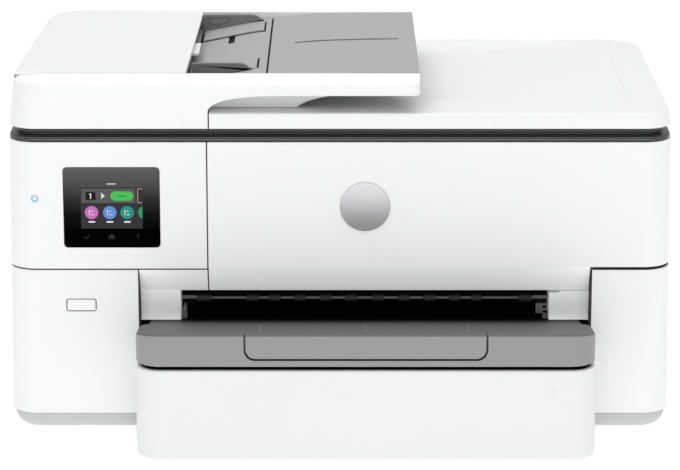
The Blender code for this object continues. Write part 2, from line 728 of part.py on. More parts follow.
def make_chassis():
    """The sheet-metal beam behind the carriage, with an end plate at each side."""
    beam = blocks("mech_chassis", "steel", ((-272, 283), (150, 151.6), (135, 232)))
    ends = (
        blocks("chassis_end_left", None, ((-272, -270.4), (84, 151), (BASE_TOP + GAP, 200))),
        blocks("chassis_end_right", None, ((281.4, 283), (84, 151), (BASE_TOP + GAP, 200))),
    )
    flange = blocks("chassis_flange", None, ((-272, 283), (150, 164), (230.4, 232)))
    motor_hole = rod("motor_hole", None, "Y", (-250, 150, BELT_HEIGHT), 5, 20)
    cut(join(beam, *ends, flange), motor_hole)
    rod("carriage_rod", "steel", "X", (5.4, ROD_DEPTH, ROD_HEIGHT), 4, 551)


def cartridge_bays():
    """Where the cartridges sit along the parked carriage: name, slot, left side and width."""
    bays = []
    left = 179.2
    for name, slot, width in (
        ("yellow", "yellow_label", 20),
        ("magenta", "magenta_label", 20),
        ("cyan", "cyan_label", 20),
        ("black", "black_plastic", 31),
    ):
        bays.append((name, slot, left, width))
        left += width + 2.4
    return bays


def make_carriage():
    """The carriage with its four cartridges, parked at the right over the service station."""
    carriage = blocks("carriage", "black_plastic", ((176, 279.4), (46, 134), (128, 196)))
    bays = [(left - 0.4, left + width + 0.4) for _, _, left, width in cartridge_bays()]
    wells = blocks("cartridge_wells", None, *((bay, (40, 116), (142, 220)) for bay in bays))
    bore = rod("carriage_bore", None, "X", (228, ROD_DEPTH, ROD_HEIGHT), 4.4, 130)
    clamp = blocks("belt_clamp", None, ((214, 242), (130, 142), (168, 176.1)))
    cut(join(carriage, clamp), wells, bore)
    riders = [carriage]
    for name, slot, left, width in cartridge_bays():
        tank = blocks(f"cartridge_{name}", slot, ((left, left + width), (41, 115.6), (142.4, 206)))
        grip = blocks(f"cartridge_step_{name}", None, ((left - 5, left + width + 5), (30, 56), (190, 220)))
        cut(tank, grip)
        riders.append(tank)
    pivot("carriage_axis", 228, ROD_DEPTH, ROD_HEIGHT, *riders)


def make_carriage_drive():
    """Motor, pulleys and belt that pull the carriage."""
    rim = [(0, 8.2), (9, 8.2), (9, 7), (PULLEY_RADIUS, 7), (PULLEY_RADIUS, 1), (9, 1), (9, 0), (0, 0)]
    for name, x, tail in (("drive_pulley", -250, 15.8), ("idler_pulley", 262, 13.6)):
        profile = [(0, tail), (2, tail), (2, 8.2)] + rim[1:]
        wheel = turned(name, "steel", "Y", (x, 136, BELT_HEIGHT), profile, 20)
        pivot(name + "_axis", x, 140, BELT_HEIGHT, wheel)
    turned(
        "carriage_motor",
        "steel",
        "Y",
        (-250, 152.2, BELT_HEIGHT),
        [(0, 34), (12, 34), (15.5, 31), (15.5, 0), (5, 0), (5, -0.2), (0, -0.2)],
        24,
    )
    belt_loop("carriage_belt", "Y", (-250, BELT_HEIGHT), (262, BELT_HEIGHT), 7.3, 7.3, (137.4, 142.6))


def belt_loop(name, axis, first, second, first_radius, second_radius, span):
    """A flat belt round two pulleys, as an outer loop with an inner loop cut out of it."""

    def loop(extra):
        lean = math.degrees(math.atan2(second[1] - first[1], second[0] - first[0]))
        reach = math.hypot(second[0] - first[0], second[1] - first[1])
        wrap = math.degrees(math.asin((first_radius - second_radius) / reach))
        return arc(first, first_radius + extra, lean + 90 - wrap, lean + 270 + wrap, 12) + arc(
            second, second_radius + extra, lean - 90 + wrap, lean + 90 - wrap, 12
        )

    belt = prism(name, "rubber", axis, loop(1.2), *span)
    cut(belt, prism(name + "_inside", None, axis, loop(0.0), span[0] - 5, span[1] + 5))


def make_paper_drive():
    """Rollers that move the sheet, and the motor that turns them."""
    turned_rollers = [(-127, -114), (-83, -72), (-63.3, -53), (-40.6, -30.4), (-18, -7.6), (4.9, 15.4)]
    turned_rollers += [(28.6, 38.7), (51.8, 61.9), (74.5, 84.7), (97, 107), (116.6, 126.2), (158.6, 170)]
    eject = turned(
        "eject_shaft",
        "rubber",
        "X",
        (0, EJECT_DEPTH, EJECT_HEIGHT),
        stepped(2.0, (SLOT_LEFT + 0.5, SLOT_RIGHT - 0.5), [(a, b, 5.2) for a, b in turned_rollers]),
        12,
    )
    feed = turned(
        "feed_roller",
        "rubber",
        "X",
        (0, FEED_DEPTH, FEED_HEIGHT),
        stepped(4, (-245.6, 221), [(-170, 214, 7)]),
        16,
    )
    pickup = turned(
        "pickup_roller",
        "rubber",
        "X",
        (22, PICKUP_DEPTH, PICKUP_HEIGHT),
        stepped(3, (-26, 26), [(-20, -6, 12), (6, 20, 12)]),
        20,
    )
    for name, rider, x, depth, z in (
        ("eject_shaft_axis", eject, 22, EJECT_DEPTH, EJECT_HEIGHT),
        ("feed_roller_axis", feed, 0, FEED_DEPTH, FEED_HEIGHT),
        ("pickup_roller_axis", pickup, 22, PICKUP_DEPTH, PICKUP_HEIGHT),
    ):
        pivot(name, x, depth, z, rider)
    motor = [(0, 24), (14, 24), (17, 21), (17, 0), (0, 0)]
    turned("feed_motor", "steel", "X", (-270, FEED_DEPTH, FEED_HEIGHT), motor, 24)


def make_paper_path():
    """Platen, star-wheel bar and the curved rear guide."""
    platen = blocks("platen", "black_plastic", ((-176, 222), (48, 96), (112, 119)))
    ribs = blocks(
        "platen_ribs", None, *(((x, x + 2), (50, 94), (117, 122)) for x in range(-168, 220, 24))
    )
    join(platen, ribs)
    bar = blocks("star_wheel_bar", "black_plastic", ((-138, 182), (41, 60), (125.4, 127.7)))
    teeth = blocks(
        "star_wheel_forks", None, *(((x, x + 6), (38, 48), (120, 132)) for x in range(-124, 180, 23))
    )
    cut(bar, teeth)
    guide = arc((262, 75), 44, -55, 88, 12) + arc((262, 75), 41.5, 88, -55, 12)
    prism("rear_paper_guide", "black_plastic", "X", guide, -128, 168)


def make_service_station():
    """The caps that the print heads park on."""
    station = blocks("service_station", "dark_grey", ((229, 279), (48, 112), (102, 120)))
    caps = blocks(
        "service_caps", None, *(((x, x + 9), (62, 98), (118, 126)) for x in (233, 245, 257, 268))
    )
    join(station, caps)


make_base()
make_lower_case()
make_upper_case()
make_front_frame()
make_ink_door()
make_front_controls()
make_rear()
make_scanner()
make_lid()
make_trays()
make_tray_rails()
make_chassis()
make_carriage()
make_carriage_drive()
make_paper_drive()
make_paper_path()
make_service_station()
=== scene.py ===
"""Looks of a wide-format inkjet printer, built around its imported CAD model.

Lengths are millimetres: x to the right, depth back from the front panel, z up from the table.
"""

import json
import math

import bmesh
import bpy
from mathutils import Matrix, Vector

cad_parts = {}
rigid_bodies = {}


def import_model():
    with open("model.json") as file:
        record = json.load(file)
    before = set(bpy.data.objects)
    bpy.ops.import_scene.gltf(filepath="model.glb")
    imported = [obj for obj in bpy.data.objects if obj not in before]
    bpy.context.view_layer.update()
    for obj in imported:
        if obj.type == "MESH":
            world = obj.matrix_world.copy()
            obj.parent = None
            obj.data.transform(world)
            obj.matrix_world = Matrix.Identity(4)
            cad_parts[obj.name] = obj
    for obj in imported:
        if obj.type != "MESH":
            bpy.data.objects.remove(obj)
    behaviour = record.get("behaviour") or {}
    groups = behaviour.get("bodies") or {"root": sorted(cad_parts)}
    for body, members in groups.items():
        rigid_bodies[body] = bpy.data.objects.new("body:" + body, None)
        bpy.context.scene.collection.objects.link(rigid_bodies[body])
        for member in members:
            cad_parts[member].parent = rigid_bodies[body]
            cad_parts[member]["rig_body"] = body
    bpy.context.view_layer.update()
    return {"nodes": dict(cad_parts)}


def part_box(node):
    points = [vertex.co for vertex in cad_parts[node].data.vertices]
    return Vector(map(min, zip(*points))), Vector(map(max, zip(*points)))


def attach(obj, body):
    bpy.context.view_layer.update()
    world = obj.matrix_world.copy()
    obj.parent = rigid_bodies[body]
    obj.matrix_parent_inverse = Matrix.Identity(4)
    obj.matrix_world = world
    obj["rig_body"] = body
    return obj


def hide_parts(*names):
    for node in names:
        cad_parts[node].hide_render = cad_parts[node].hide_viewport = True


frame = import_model()
scene = bpy.context.scene

MM = 0.001
WELD = 2e-6  # metres between CAD vertices that are one point
FRONT = -128.0  # y of the front panel
HALF = 292.5
DEPTH = 328.0
WALL = 2.5
FRONT_RADIUS, BACK_RADIUS = 25.0, 32.0
CASE_DRAFT, CASE_FOOT = 4.6e-5, 20.6
LID_DRAFT, LID_FOOT = 3.9e-4, 279.8
SEAM_GAP = 0.6  # half the gap between two mouldings
TRAY_LEFT, TRAY_RIGHT = -176.6, 220.6
SLOT_LEFT, SLOT_RIGHT = -141.0, 185.0
SPLIT, CASE_TOP = 153.6, 268.4
DOOR_LEFT = -115.8
TRAY_FRONT = -76.0
SIDE_START, SIDE_FULL = 225.0, 262.0  # where along x the draft begins and is full
LAMP_X, LAMP_Z = -266.0, 217.5
FEEDER_LEAN = 8.0  # how far the feeder's left side comes in at the back
LEAN_LOW = 302.0
COVER_AXIS = (-279.9, 323.6)  # x and z of the line that the feeder's cover turns on
DECK_FRONT, DECK_BACK = 17.0, 295.6
LID_TOP = 293.5
LID_HALF = 288.6
LID_CORNER = 37.0
FEEDER_TOP = 326.0
FEEDER_RIGHT, FEEDER_BACK = 70.0, 300.0
COVER_BACK = 309.0
SEAM = -114.0


# ---------------------------------------------------------------- materials

LOOKS = {}


def node(tree, kind, **inputs):
    made = tree.nodes.new(kind)
    for name, value in inputs.items():
        made.inputs[name.replace("_", " ")].default_value = value
    return made


def blend_colours(tree, factor, first, second):
    """A node that mixes two fixed colours by a texture, and its colour output."""
    mix = tree.nodes.new("ShaderNodeMix")
    mix.data_type = "RGBA"
    tree.links.new(factor, mix.inputs[0])
    mix.inputs[6].default_value = (*first, 1.0)
    mix.inputs[7].default_value = (*second, 1.0)
    return mix.outputs[2]


def new_look(name):
    """A new material, entered in LOOKS, with its node tree and its shader."""
    made = LOOKS[name] = bpy.data.materials.new(name)
    made.use_nodes = True
    return made, made.node_tree, made.node_tree.nodes["Principled BSDF"]


def coordinate(tree, axis, space="Object"):
    """One coordinate of the point that is shaded."""
    split = tree.nodes.new("ShaderNodeSeparateXYZ")
    tree.links.new(tree.nodes.new("ShaderNodeTexCoord").outputs[space], split.inputs["Vector"])
    return split.outputs[axis]


def look(name, colour, rough, grain=1400.0, bump=0.12, drift=0.02, stretch=None, **sockets):
    """A moulded or metal surface: fine grain in the bump, slow drift in colour and gloss."""
    made, tree, shader = new_look(name)
    for socket, value in sockets.items():
        shader.inputs[socket.replace("_", " ")].default_value = value
    place = tree.nodes.new("ShaderNodeTexCoord").outputs["Object"]
    if stretch:
        mapping = tree.nodes.new("ShaderNodeMapping")
        mapping.inputs["Scale"].default_value = stretch
        tree.links.new(place, mapping.inputs["Vector"])
        place = mapping.outputs["Vector"]
    fine = node(tree, "ShaderNodeTexNoise", Scale=grain, Detail=2.0)
    broad = node(tree, "ShaderNodeTexNoise", Scale=9.0, Detail=3.0)
    for texture in (fine, broad):
        tree.links.new(place, texture.inputs["Vector"])
    relief = node(tree, "ShaderNodeBump", Strength=bump, Distance=0.0002)
    tree.links.new(fine.outputs["Fac"], relief.inputs["Height"])
    tree.links.new(relief.outputs["Normal"], shader.inputs["Normal"])
    low = [max(0.0, c * (1 - drift)) for c in colour]
    high = [min(1.0, c * (1 + drift)) for c in colour]
    tree.links.new(blend_colours(tree, broad.outputs["Fac"], low, high), shader.inputs["Base Color"])
    gloss = node(tree, "ShaderNodeMapRange", To_Min=max(0.0, rough - 0.05), To_Max=rough + 0.05)
    tree.links.new(fine.outputs["Fac"], gloss.inputs["Value"])
    tree.links.new(gloss.outputs["Result"], shader.inputs["Roughness"])
    return made


def graded(made, axis, start, end, low, high):
    """Scales a look's colour from low to high between two places along an axis."""
    tree = made.node_tree
    shader = tree.nodes["Principled BSDF"]
    colour = shader.inputs["Base Color"].links[0].from_socket
    fade = node(tree, "ShaderNodeMapRange", From_Min=start, From_Max=end, To_Min=low, To_Max=high)
    fade.interpolation_type = "SMOOTHSTEP"
    tree.links.new(coordinate(tree, axis), fade.inputs["Value"])
    dim = tree.nodes.new("ShaderNodeVectorMath")
    dim.operation = "SCALE"
    tree.links.new(colour, dim.inputs[0])
    tree.links.new(fade.outputs["Result"], dim.inputs["Scale"])
    tree.links.new(dim.outputs["Vector"], shader.inputs["Base Color"])
    return made


def lit(name, colour, strength):
    """A glowing surface with a slow brightness drift, for the display and the lamp."""
    look(name, colour, 0.35, grain=300.0, bump=0.02, Emission_Strength=strength,
         Specular_IOR_Level=0.04, Emission_Color=(*colour, 1.0))


def glass_with_painted_reflection():
    """The display's cover glass: near black, lifting to dark grey towards its top edge as a painted reflection.
    """
    made, tree, shader = new_look("screen_glass")
    made.name = "cover_glass_painted_reflection"
    shader.inputs["Roughness"].default_value = 0.12
    shader.inputs["Specular IOR Level"].default_value = 0.01
    ramp = tree.nodes.new("ShaderNodeValToRGB")
    height = node(tree, "ShaderNodeMapRange", From_Min=0.1738, From_Max=0.2455)
    tree.links.new(coordinate(tree, "Z"), height.inputs["Value"])
    tree.links.new(height.outputs["Result"], ramp.inputs["Fac"])
    for position, value in ((0.2, 0.0), (0.42, 0.006), (0.62, 0.03), (0.85, 0.085)):
        ramp.color_ramp.elements.new(position).color = (value, value, value, 1.0)
    ramp.color_ramp.elements[0].color = (0, 0, 0, 1)
    ramp.color_ramp.elements[-1].color = (0.11, 0.11, 0.11, 1)
    tree.links.new(ramp.outputs["Color"], shader.inputs["Base Color"])


look("white_shell", (0.875, 0.878, 0.88), 0.42, drift=0.008)
look("tray_white", (0.8, 0.803, 0.805), 0.42, drift=0.008)
# light_grey glows faintly, painted light that lifts the shaded lip and cheeks of the paper exit
look("light_grey", (0.9, 0.912, 0.908), 0.38, drift=0.012, Emission_Strength=0.17)
look("base_grey", (0.53, 0.535, 0.535), 0.5)
look("tray_grey", (0.285, 0.285, 0.286), 0.45, grain=1100, bump=0.2, drift=0.03)
# shelf_painted_shade: the output tray's grey darkened for its upward faces as painted shade under the body,
# fading to near black towards the back as painted shade inside the paper exit
shelf = look("shelf_painted_shade", (0.14, 0.14, 0.141), 0.55, 1100, 0.2, 0.03, Specular_IOR_Level=0.25)
graded(shelf, "Y", -0.144, -0.104, 1.0, 0.03)
look("feeder_grey", (0.4, 0.4, 0.404), 0.5, grain=1100, bump=0.25)
look("dark_grey", (0.15, 0.15, 0.152), 0.42, grain=1200, bump=0.2, drift=0.05)
# the scanner rim's dark grey painted near black, as painted shade under the lid
look("band_painted_shade", (0.055, 0.057, 0.057), 0.32, grain=1200, bump=0.1, drift=0.04)
look("strip_grey", (0.2, 0.202, 0.202), 0.3, grain=1200, bump=0.1, drift=0.04)
look("black_plastic", (0.005, 0.005, 0.0052), 0.6, 1200, 0.25, 0.2, Specular_IOR_Level=0.15)
look("steel", (0.55, 0.55, 0.56), 0.32, grain=500, bump=0.08, stretch=(0.05, 1, 1), Metallic=1.0)
look("rubber", (0.025, 0.025, 0.026), 0.75, grain=2200, bump=0.5, drift=0.15)
look("roller_grey", (0.03, 0.03, 0.031), 0.6, grain=2200, bump=0.4, drift=0.15)
look("clear_glass", (0.09, 0.11, 0.11), 0.04, grain=60.0, bump=0.01, Alpha=0.45)
glass_with_painted_reflection()
# the badge's metal is graded from dark at its bottom to light at its top, a painted reflection
metal = look("badge_metal", (0.52, 0.52, 0.53), 0.3, 900, 0.1, stretch=(1, 1, 0.06), Metallic=1.0)
graded(metal, "Z", 0.19, 0.23, 0.4, 1.05)
look("foam_white", (0.8, 0.8, 0.79), 0.95, grain=2600, bump=0.7, drift=0.03)
look("board_green", (0.015, 0.12, 0.05), 0.4, grain=500, bump=0.2, drift=0.2)
lit("lamp_blue", (0.3, 0.47, 0.85), 0.35)
# the ridges' tray grey dimmed to match the painted shade on the shelf top
look("shelf_rib_painted_shade", (0.17, 0.17, 0.171), 0.5, grain=1100, bump=0.2, drift=0.03)
look("cyan_label", (0.0, 0.3, 0.55), 0.4, drift=0.05)
look("magenta_label", (0.5, 0.02, 0.22), 0.4, drift=0.05)
look("mark_white", (0.96, 0.96, 0.96), 0.3, drift=0.01)
look("yellow_label", (0.75, 0.58, 0.02), 0.4, drift=0.05)
look("guide_grey", (0.19, 0.19, 0.192), 0.4, grain=1200, bump=0.2, drift=0.04)
SCREEN = {
    "screen_dark": (0.022, 0.022, 0.023), "screen_mid": (0.05, 0.05, 0.051),
    "screen_light": (0.062, 0.062, 0.063), "screen_box": (0.007, 0.007, 0.007),
    "icon_green": (0.045, 0.32, 0.055), "icon_pink": (0.34, 0.1, 0.3), "icon_blue": (0.08, 0.165, 0.42),
    "icon_teal": (0.012, 0.175, 0.14), "icon_leaf": (0.02, 0.19, 0.08), "icon_white": (0.5, 0.5, 0.5),
    "icon_tan": (0.3, 0.19, 0.14), "touch_grey": (0.014, 0.014, 0.014),
}
for screen_name, screen_colour in SCREEN.items():
    lit(screen_name, screen_colour, 0.6)
# the record's material of each look that has none of its own name
SLOTS = {
    "base_grey": "light_grey", "tray_white": "white_shell", "mark_white": "white_shell",
    "shelf_painted_shade": "tray_grey", "shelf_rib_painted_shade": "tray_grey", "band_painted_shade": "dark_grey", "strip_grey": "dark_grey",
    "guide_grey": "dark_grey", "roller_grey": "rubber", **dict.fromkeys(SCREEN, "screen_glass"),
}


# ---------------------------------------------------------------- shapes


def at(x, depth, z):
    return Vector((x, FRONT + depth, z)) * MM


def skin(rows, closed=False, caps=True, ring=True):
    """A mesh from rows of (x, depth, z) points; every row is a loop when ring is true."""
    bm = bmesh.new()
    grid = [[bm.verts.new(at(*p)) for p in row] for row in rows]
    turns = len(grid) if closed else len(grid) - 1
    around = len(grid[0]) if ring else len(grid[0]) - 1
    for i in range(turns):
        first, second = grid[i], grid[(i + 1) % len(grid)]
        for j in range(around):
            k = (j + 1) % len(first)
            bm.faces.new((first[j], second[j], second[k], first[k]))
    if caps and not closed:
        bm.faces.new(grid[0])
        bm.faces.new(grid[-1])
    return bm


def bend(cx, depth, radius, start, stop, steps=18):
    """Stations round a corner in plan, each with its outward normal."""
    found = []
    for i in range(steps + 1):
        a = math.radians(start + (stop - start) * i / steps)
        found.append((cx + radius * math.cos(a), depth + radius * math.sin(a), math.cos(a), math.sin(a)))
    return found


def ring_of(path, inset, z):
    return [(x - inset * nx, d - inset * nd, z) for x, d, nx, nd in path]


def sweep(path, section, closed=False):
    """Carries a closed section of (inset, z) points along stations in plan."""
    rows = [[(x - s * nx, d - s * nd, z) for s, z in section] for x, d, nx, nd in path]
    return skin(rows, closed)


def fillet(centre, radius, start, stop, steps=4):
    return [
        (
            centre[0] + radius * math.cos(math.radians(start + (stop - start) * i / steps)),
            centre[1] + radius * math.sin(math.radians(start + (stop - start) * i / steps)),
        )
        for i in range(steps + 1)
    ]


def wall(low, high, foot=0.7, crown=0.7):
    """Section of an upright wall whose outer edges are rounded."""
    return (
        [(WALL, low)]
        + fillet((foot, low + foot), foot, 270, 180)
        + fillet((crown, high - crown), crown, 180, 90)
        + [(WALL, high)]
    )


def rounded(u, v, radii, steps=8):
    """A rectangle with rounded corners: radii at low-low, high-low, high-high and low-high."""
    outline = []
    corners = ((u[0], v[0], 1, 1), (u[1], v[0], -1, 1), (u[1], v[1], -1, -1), (u[0], v[1], 1, -1))
    for (cu, cv, du, dv), radius, start in zip(corners, radii, (180, 270, 0, 90)):
        if radius:
            outline += fillet((cu + du * radius, cv + dv * radius), radius, start, start + 90, steps)
        else:
            outline.append((cu, cv))
    return outline


def prism(axis, outline, low, high):
    """An outline pushed along an axis: X takes (depth, z), Y takes (x, z), Z takes (x, depth)."""
    order = {
        "X": lambda u, v, w: (w, u, v),
        "Y": lambda u, v, w: (u, w, v),
        "Z": lambda u, v, w: (u, v, w),
    }[axis]
    return skin([[order(u, v, level) for u, v in outline] for level in (low, high)])


def box(*spans):
    """One mesh of blocks, each given as (x low, x high), (depth low, high), (z low, high)."""
    bm = bmesh.new()
    for span in spans:
        low, high = (at(*(side[i] for side in span)) for i in (0, 1))
        size = Matrix.Diagonal((*(high - low), 1.0))
        bmesh.ops.create_cube(bm, size=1.0, matrix=Matrix.Translation((low + high) / 2) @ size)
    return bm


def lathe(axis, centre, profile, steps=48):
    """A profile of (radius, along) turned round an axis through a centre."""
    rows = []
    for i in range(steps):
        a = 2 * math.pi * i / steps
        row = []
        for radius, along in profile:
            u, v = radius * math.cos(a), radius * math.sin(a)
            shift = {"X": (along, u, v), "Y": (u, along, v), "Z": (u, v, along)}[axis]
            row.append(tuple(c + s for c, s in zip(centre, shift)))
        rows.append(row)
    bm = skin(rows, closed=True, caps=False, ring=False)
    bmesh.ops.remove_doubles(bm, verts=bm.verts, dist=1e-7)
    bmesh.ops.holes_fill(bm, edges=[e for e in bm.edges if e.is_boundary], sides=0)
    return bm


def share_of(value, start, stop):
    """0 before start, 1 after stop, and even between them."""
    return min(1.0, max(0.0, (value - start) / (stop - start)))


def taper(bm, rate, start):
    """Narrows a shape's sides with height, the way the mouldings do."""
    for vertex in bm.verts:
        side = share_of(abs(vertex.co.x) / MM, SIDE_START, SIDE_FULL)
        vertex.co.x *= 1.0 - rate * side * (vertex.co.z / MM - start)
    return bm


def case_taper(bm):
    return taper(bm, CASE_DRAFT, CASE_FOOT)


def lid_taper(bm):
    return taper(bm, LID_DRAFT, LID_FOOT)


def drawn_in(bm, high):
    """Leans the feeder's left side inwards towards the back, in full from a height up."""
    for vertex in bm.verts:
        x, y, z = (c / MM for c in vertex.co)
        back = share_of(y - FRONT, LID_CORNER, FEEDER_BACK)
        outer = share_of(-x, 200.0, 260.0)
        vertex.co.x += FEEDER_LEAN * back * share_of(z, LEAN_LOW, high) * outer * MM
    return bm


def merged(*shapes):
    """Several meshes in one, for pieces that are moulded together."""
    whole = bmesh.new()
    for bm in shapes:
        mesh = bpy.data.meshes.new("part")
        bm.to_mesh(mesh)
        bm.free()
        whole.from_mesh(mesh)
        bpy.data.meshes.remove(mesh)
    return whole


def mesh_of(name, bm):
    bmesh.ops.recalc_face_normals(bm, faces=bm.faces)
    mesh = bpy.data.meshes.new(name)
    bm.to_mesh(mesh)
    bm.free()
    return mesh


def placed(name, data):
    obj = bpy.data.objects.new(name, data)
    scene.collection.objects.link(obj)
    return obj


def cad_shape(node_name):
    """A CAD node's own mesh, its doubled vertices joined."""
    bm = bmesh.new()
    bm.from_mesh(frame["nodes"][node_name].data)
    bmesh.ops.remove_doubles(bm, verts=bm.verts, dist=WELD)
    return bm


def baked(obj):
    """Applies every modifier of an object."""
    graph = bpy.context.evaluated_depsgraph_get()
    made = bpy.data.meshes.new_from_object(obj.evaluated_get(graph))
    obj.modifiers.clear()
    obj.data = made
    return obj


def carve(obj, operation, *tools):
    """Applies Booleans to a piece at once and removes the tools."""
    for bm in tools:
        tool = placed("tool", mesh_of("tool", bm))
        modifier = obj.modifiers.new("Boolean", "BOOLEAN")
        modifier.operation = operation
        modifier.solver = "EXACT"
        modifier.object = tool
        baked(obj)
        bpy.data.objects.remove(tool)
    return obj


def piece(name, bm, paint, body, *nodes, soft=0.0, segments=2, angle=35, cuts=(), joins=(), keeps=()):
    """A finished piece: cut to shape, its edges softened, painted and riding on its body."""
    obj = placed(name, mesh_of(name, bm))
    carve(obj, "UNION", *joins)
    carve(obj, "INTERSECT", *keeps)
    carve(obj, "DIFFERENCE", *cuts)
    finish_piece(obj, paint, soft, segments, angle)
    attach(obj, body)
    if nodes:
        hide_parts(*nodes)
    return obj


def finish_piece(obj, paint, soft, segments, angle):
    if soft:
        modifier = obj.modifiers.new("Soft edges", "BEVEL")
        modifier.width = soft * MM
        modifier.segments = segments
        modifier.limit_method = "ANGLE"
        modifier.angle_limit = math.radians(40)
        modifier.harden_normals = False
        baked(obj)
    mesh = obj.data
    mesh.materials.clear()
    mesh.materials.append(LOOKS[paint])
    for polygon in mesh.polygons:
        polygon.material_index = 0
        polygon.use_smooth = True
    mesh.set_sharp_from_angle(angle=math.radians(angle))
    weighted = obj.modifiers.new("Even shading", "WEIGHTED_NORMAL")
    weighted.keep_sharp = True
    weighted.weight = 100


def refined(node_name, paint, soft=0.4, segments=2):
    """A CAD node's own shape with flat faces merged and edges softened, in its place."""
    source = frame["nodes"][node_name]
    bm = cad_shape(node_name)
    bmesh.ops.dissolve_limit(bm, angle_limit=math.radians(1.0), verts=bm.verts, edges=bm.edges)
    obj = placed(node_name + "_finished", mesh_of(node_name + "_finished", bm))
    finish_piece(obj, paint, soft, segments, 35)
    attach(obj, source["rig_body"])
    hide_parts(node_name)
    return obj


# ---------------------------------------------------------------- case


FRONT_RIGHT = bend(HALF - FRONT_RADIUS, FRONT_RADIUS, FRONT_RADIUS, 0, -90)
OTHER_CORNERS = (
    bend(FRONT_RADIUS - HALF, FRONT_RADIUS, FRONT_RADIUS, 270, 180)
    + bend(BACK_RADIUS - HALF, DEPTH - BACK_RADIUS, BACK_RADIUS, 180, 90)
    + bend(HALF - BACK_RADIUS, DEPTH - BACK_RADIUS, BACK_RADIUS, 90, 0)
)


def case_path(start_x, stop):
    """Stations round the case, clockwise from above, from a place on its front."""
    return [(start_x, 0, 0, -1)] + OTHER_CORNERS + stop


def front_right(end_x):
    return FRONT_RIGHT + [(end_x, 0.0, 0.0, -1.0)]


def make_base():
    rim = [(24, 4.9), (17.5, 4.9), (13.6, 5.4), (10.0, 6.9), (6.8, 9.2), (4.3, 12.4), (2.8, 16.0), (2.1, 20.2),
           (2.5, 20.6), (16.5, 20.6), (16.5, 9.0), (24, 9.0)]
    path = case_path(TRAY_LEFT - 1.2, front_right(TRAY_RIGHT + 1.2))
    floors = box(
        ((-272, -183), (20, 308), (5.7, 9.0)),
        ((227, 272), (20, 308), (5.7, 9.0)),
        ((-184, 228), (272, 308), (5.7, 9.0)),
    )
    piece("base_rim", merged(sweep(path, rim), floors), "base_grey", "printer_body", "base_frame")
    for end in ("front", "back"):
        for side in ("left", "right"):
            low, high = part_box(f"foot_{end}_{side}")
            middle = (low + high) / 2 / MM
            centre = (middle.x, middle.y - FRONT, 0.0)
            foot = [(0, 0), (6.2, 0), (6.6, 0.6), (7.2, 0.6), (7.6, 0), (8.3, 0.05), (9.0, 0.5), (9.4, 1.6),
                    (9.5, 5.3), (0, 5.3)]
            piece(f"foot_pad_{end}_{side}", lathe("Z", centre, foot), "rubber", "printer_body",
                  f"foot_{end}_{side}")


def make_lower_case():
    left, right, upright = TRAY_LEFT - SEAM_GAP, TRAY_RIGHT + SEAM_GAP, (21.1, SPLIT - SEAM_GAP)
    shell = case_taper(sweep(case_path(left, front_right(right)), wall(*upright, foot=1.4)))
    returns = [box(((x, x + WALL), (0.9, 34), upright)) for x in (left - WALL, right)]
    cuts = [
        prism("Y", rounded((-240.7, -214.0), (115.2, 127.0), (2.5,) * 4, 6), -9, 9),
        box(((-130.4, 170.4), (320, 340), (39.6, 130.4))),
        prism("Y", rounded((239.7, 270.3), (27.7, 52.3), (1.5,) * 4, 4), 320, 340),
        prism("Y", rounded((-262.3, -217.7), (47.7, 84.3), (1.5,) * 4, 4), 320, 340),
    ]
    piece("lower_shell", shell, "white_shell", "printer_body", "lower_case", joins=returns, cuts=cuts)
    numeral("mark_body", 232.4, -0.05, 66.4, 19.5, "printer_body")


def bore(centre, radius, steps=32):
    return lathe("Y", centre, [(0, -9), (radius, -9), (radius, 9), (0, 9)], steps)


def make_upper_case():
    path = case_path(DOOR_LEFT - SEAM_GAP, [(HALF, 27.9, 1, 0)])
    shell = case_taper(sweep(path, wall(SPLIT + SEAM_GAP, CASE_TOP - 0.5, crown=1.0)))
    cuts = [
        prism("Y", rounded((-241.3, -156.8), (173.4, 245.9), (3.6,) * 4, 6), -9, 9),
        bore((LAMP_X, 0, LAMP_Z), 3.3),
    ]
    piece("upper_shell", shell, "white_shell", "printer_body", "upper_case", cuts=cuts)


def lip_section(top=SPLIT - SEAM_GAP, shoulder=SPLIT - 1.4):
    return [(0.25, top), (0.25, shoulder + 0.6), (0.5, shoulder), (14.9, 130.7), (15.4, 130.4), (16.0, 130.4),
            (18.3, 130.6), (4.2, SPLIT - 0.8), (4.2, top)]


def make_door():
    path = [(HALF, 27.0, 1, 0)] + front_right(DOOR_LEFT + SEAM_GAP)
    panel = case_taper(sweep(path, wall(SPLIT + 2.1, CASE_TOP - 0.5, foot=0.2, crown=1.0)))
    piece("door_panel", panel, "white_shell", "ink_door", "ink_door")
    strip = prism("X", lip_section(SPLIT + 2.0, SPLIT + 1.3), DOOR_LEFT + SEAM_GAP, TRAY_RIGHT - 1.2)
    piece("door_strip", strip, "light_grey", "ink_door", "door_lip")
    disc = [(0, 0.2), (21.3, 0.2), (21.7, -0.1), (21.7, -0.7), (21.45, -1.05), (20.9, -1.2), (20.3, -1.12),
            (14, -1.24), (7, -1.29), (0, -1.3)]
    piece("badge_disc", lathe("Y", (21.9, -0.3, 210.4), disc, 96), "badge_metal", "ink_door", "badge")


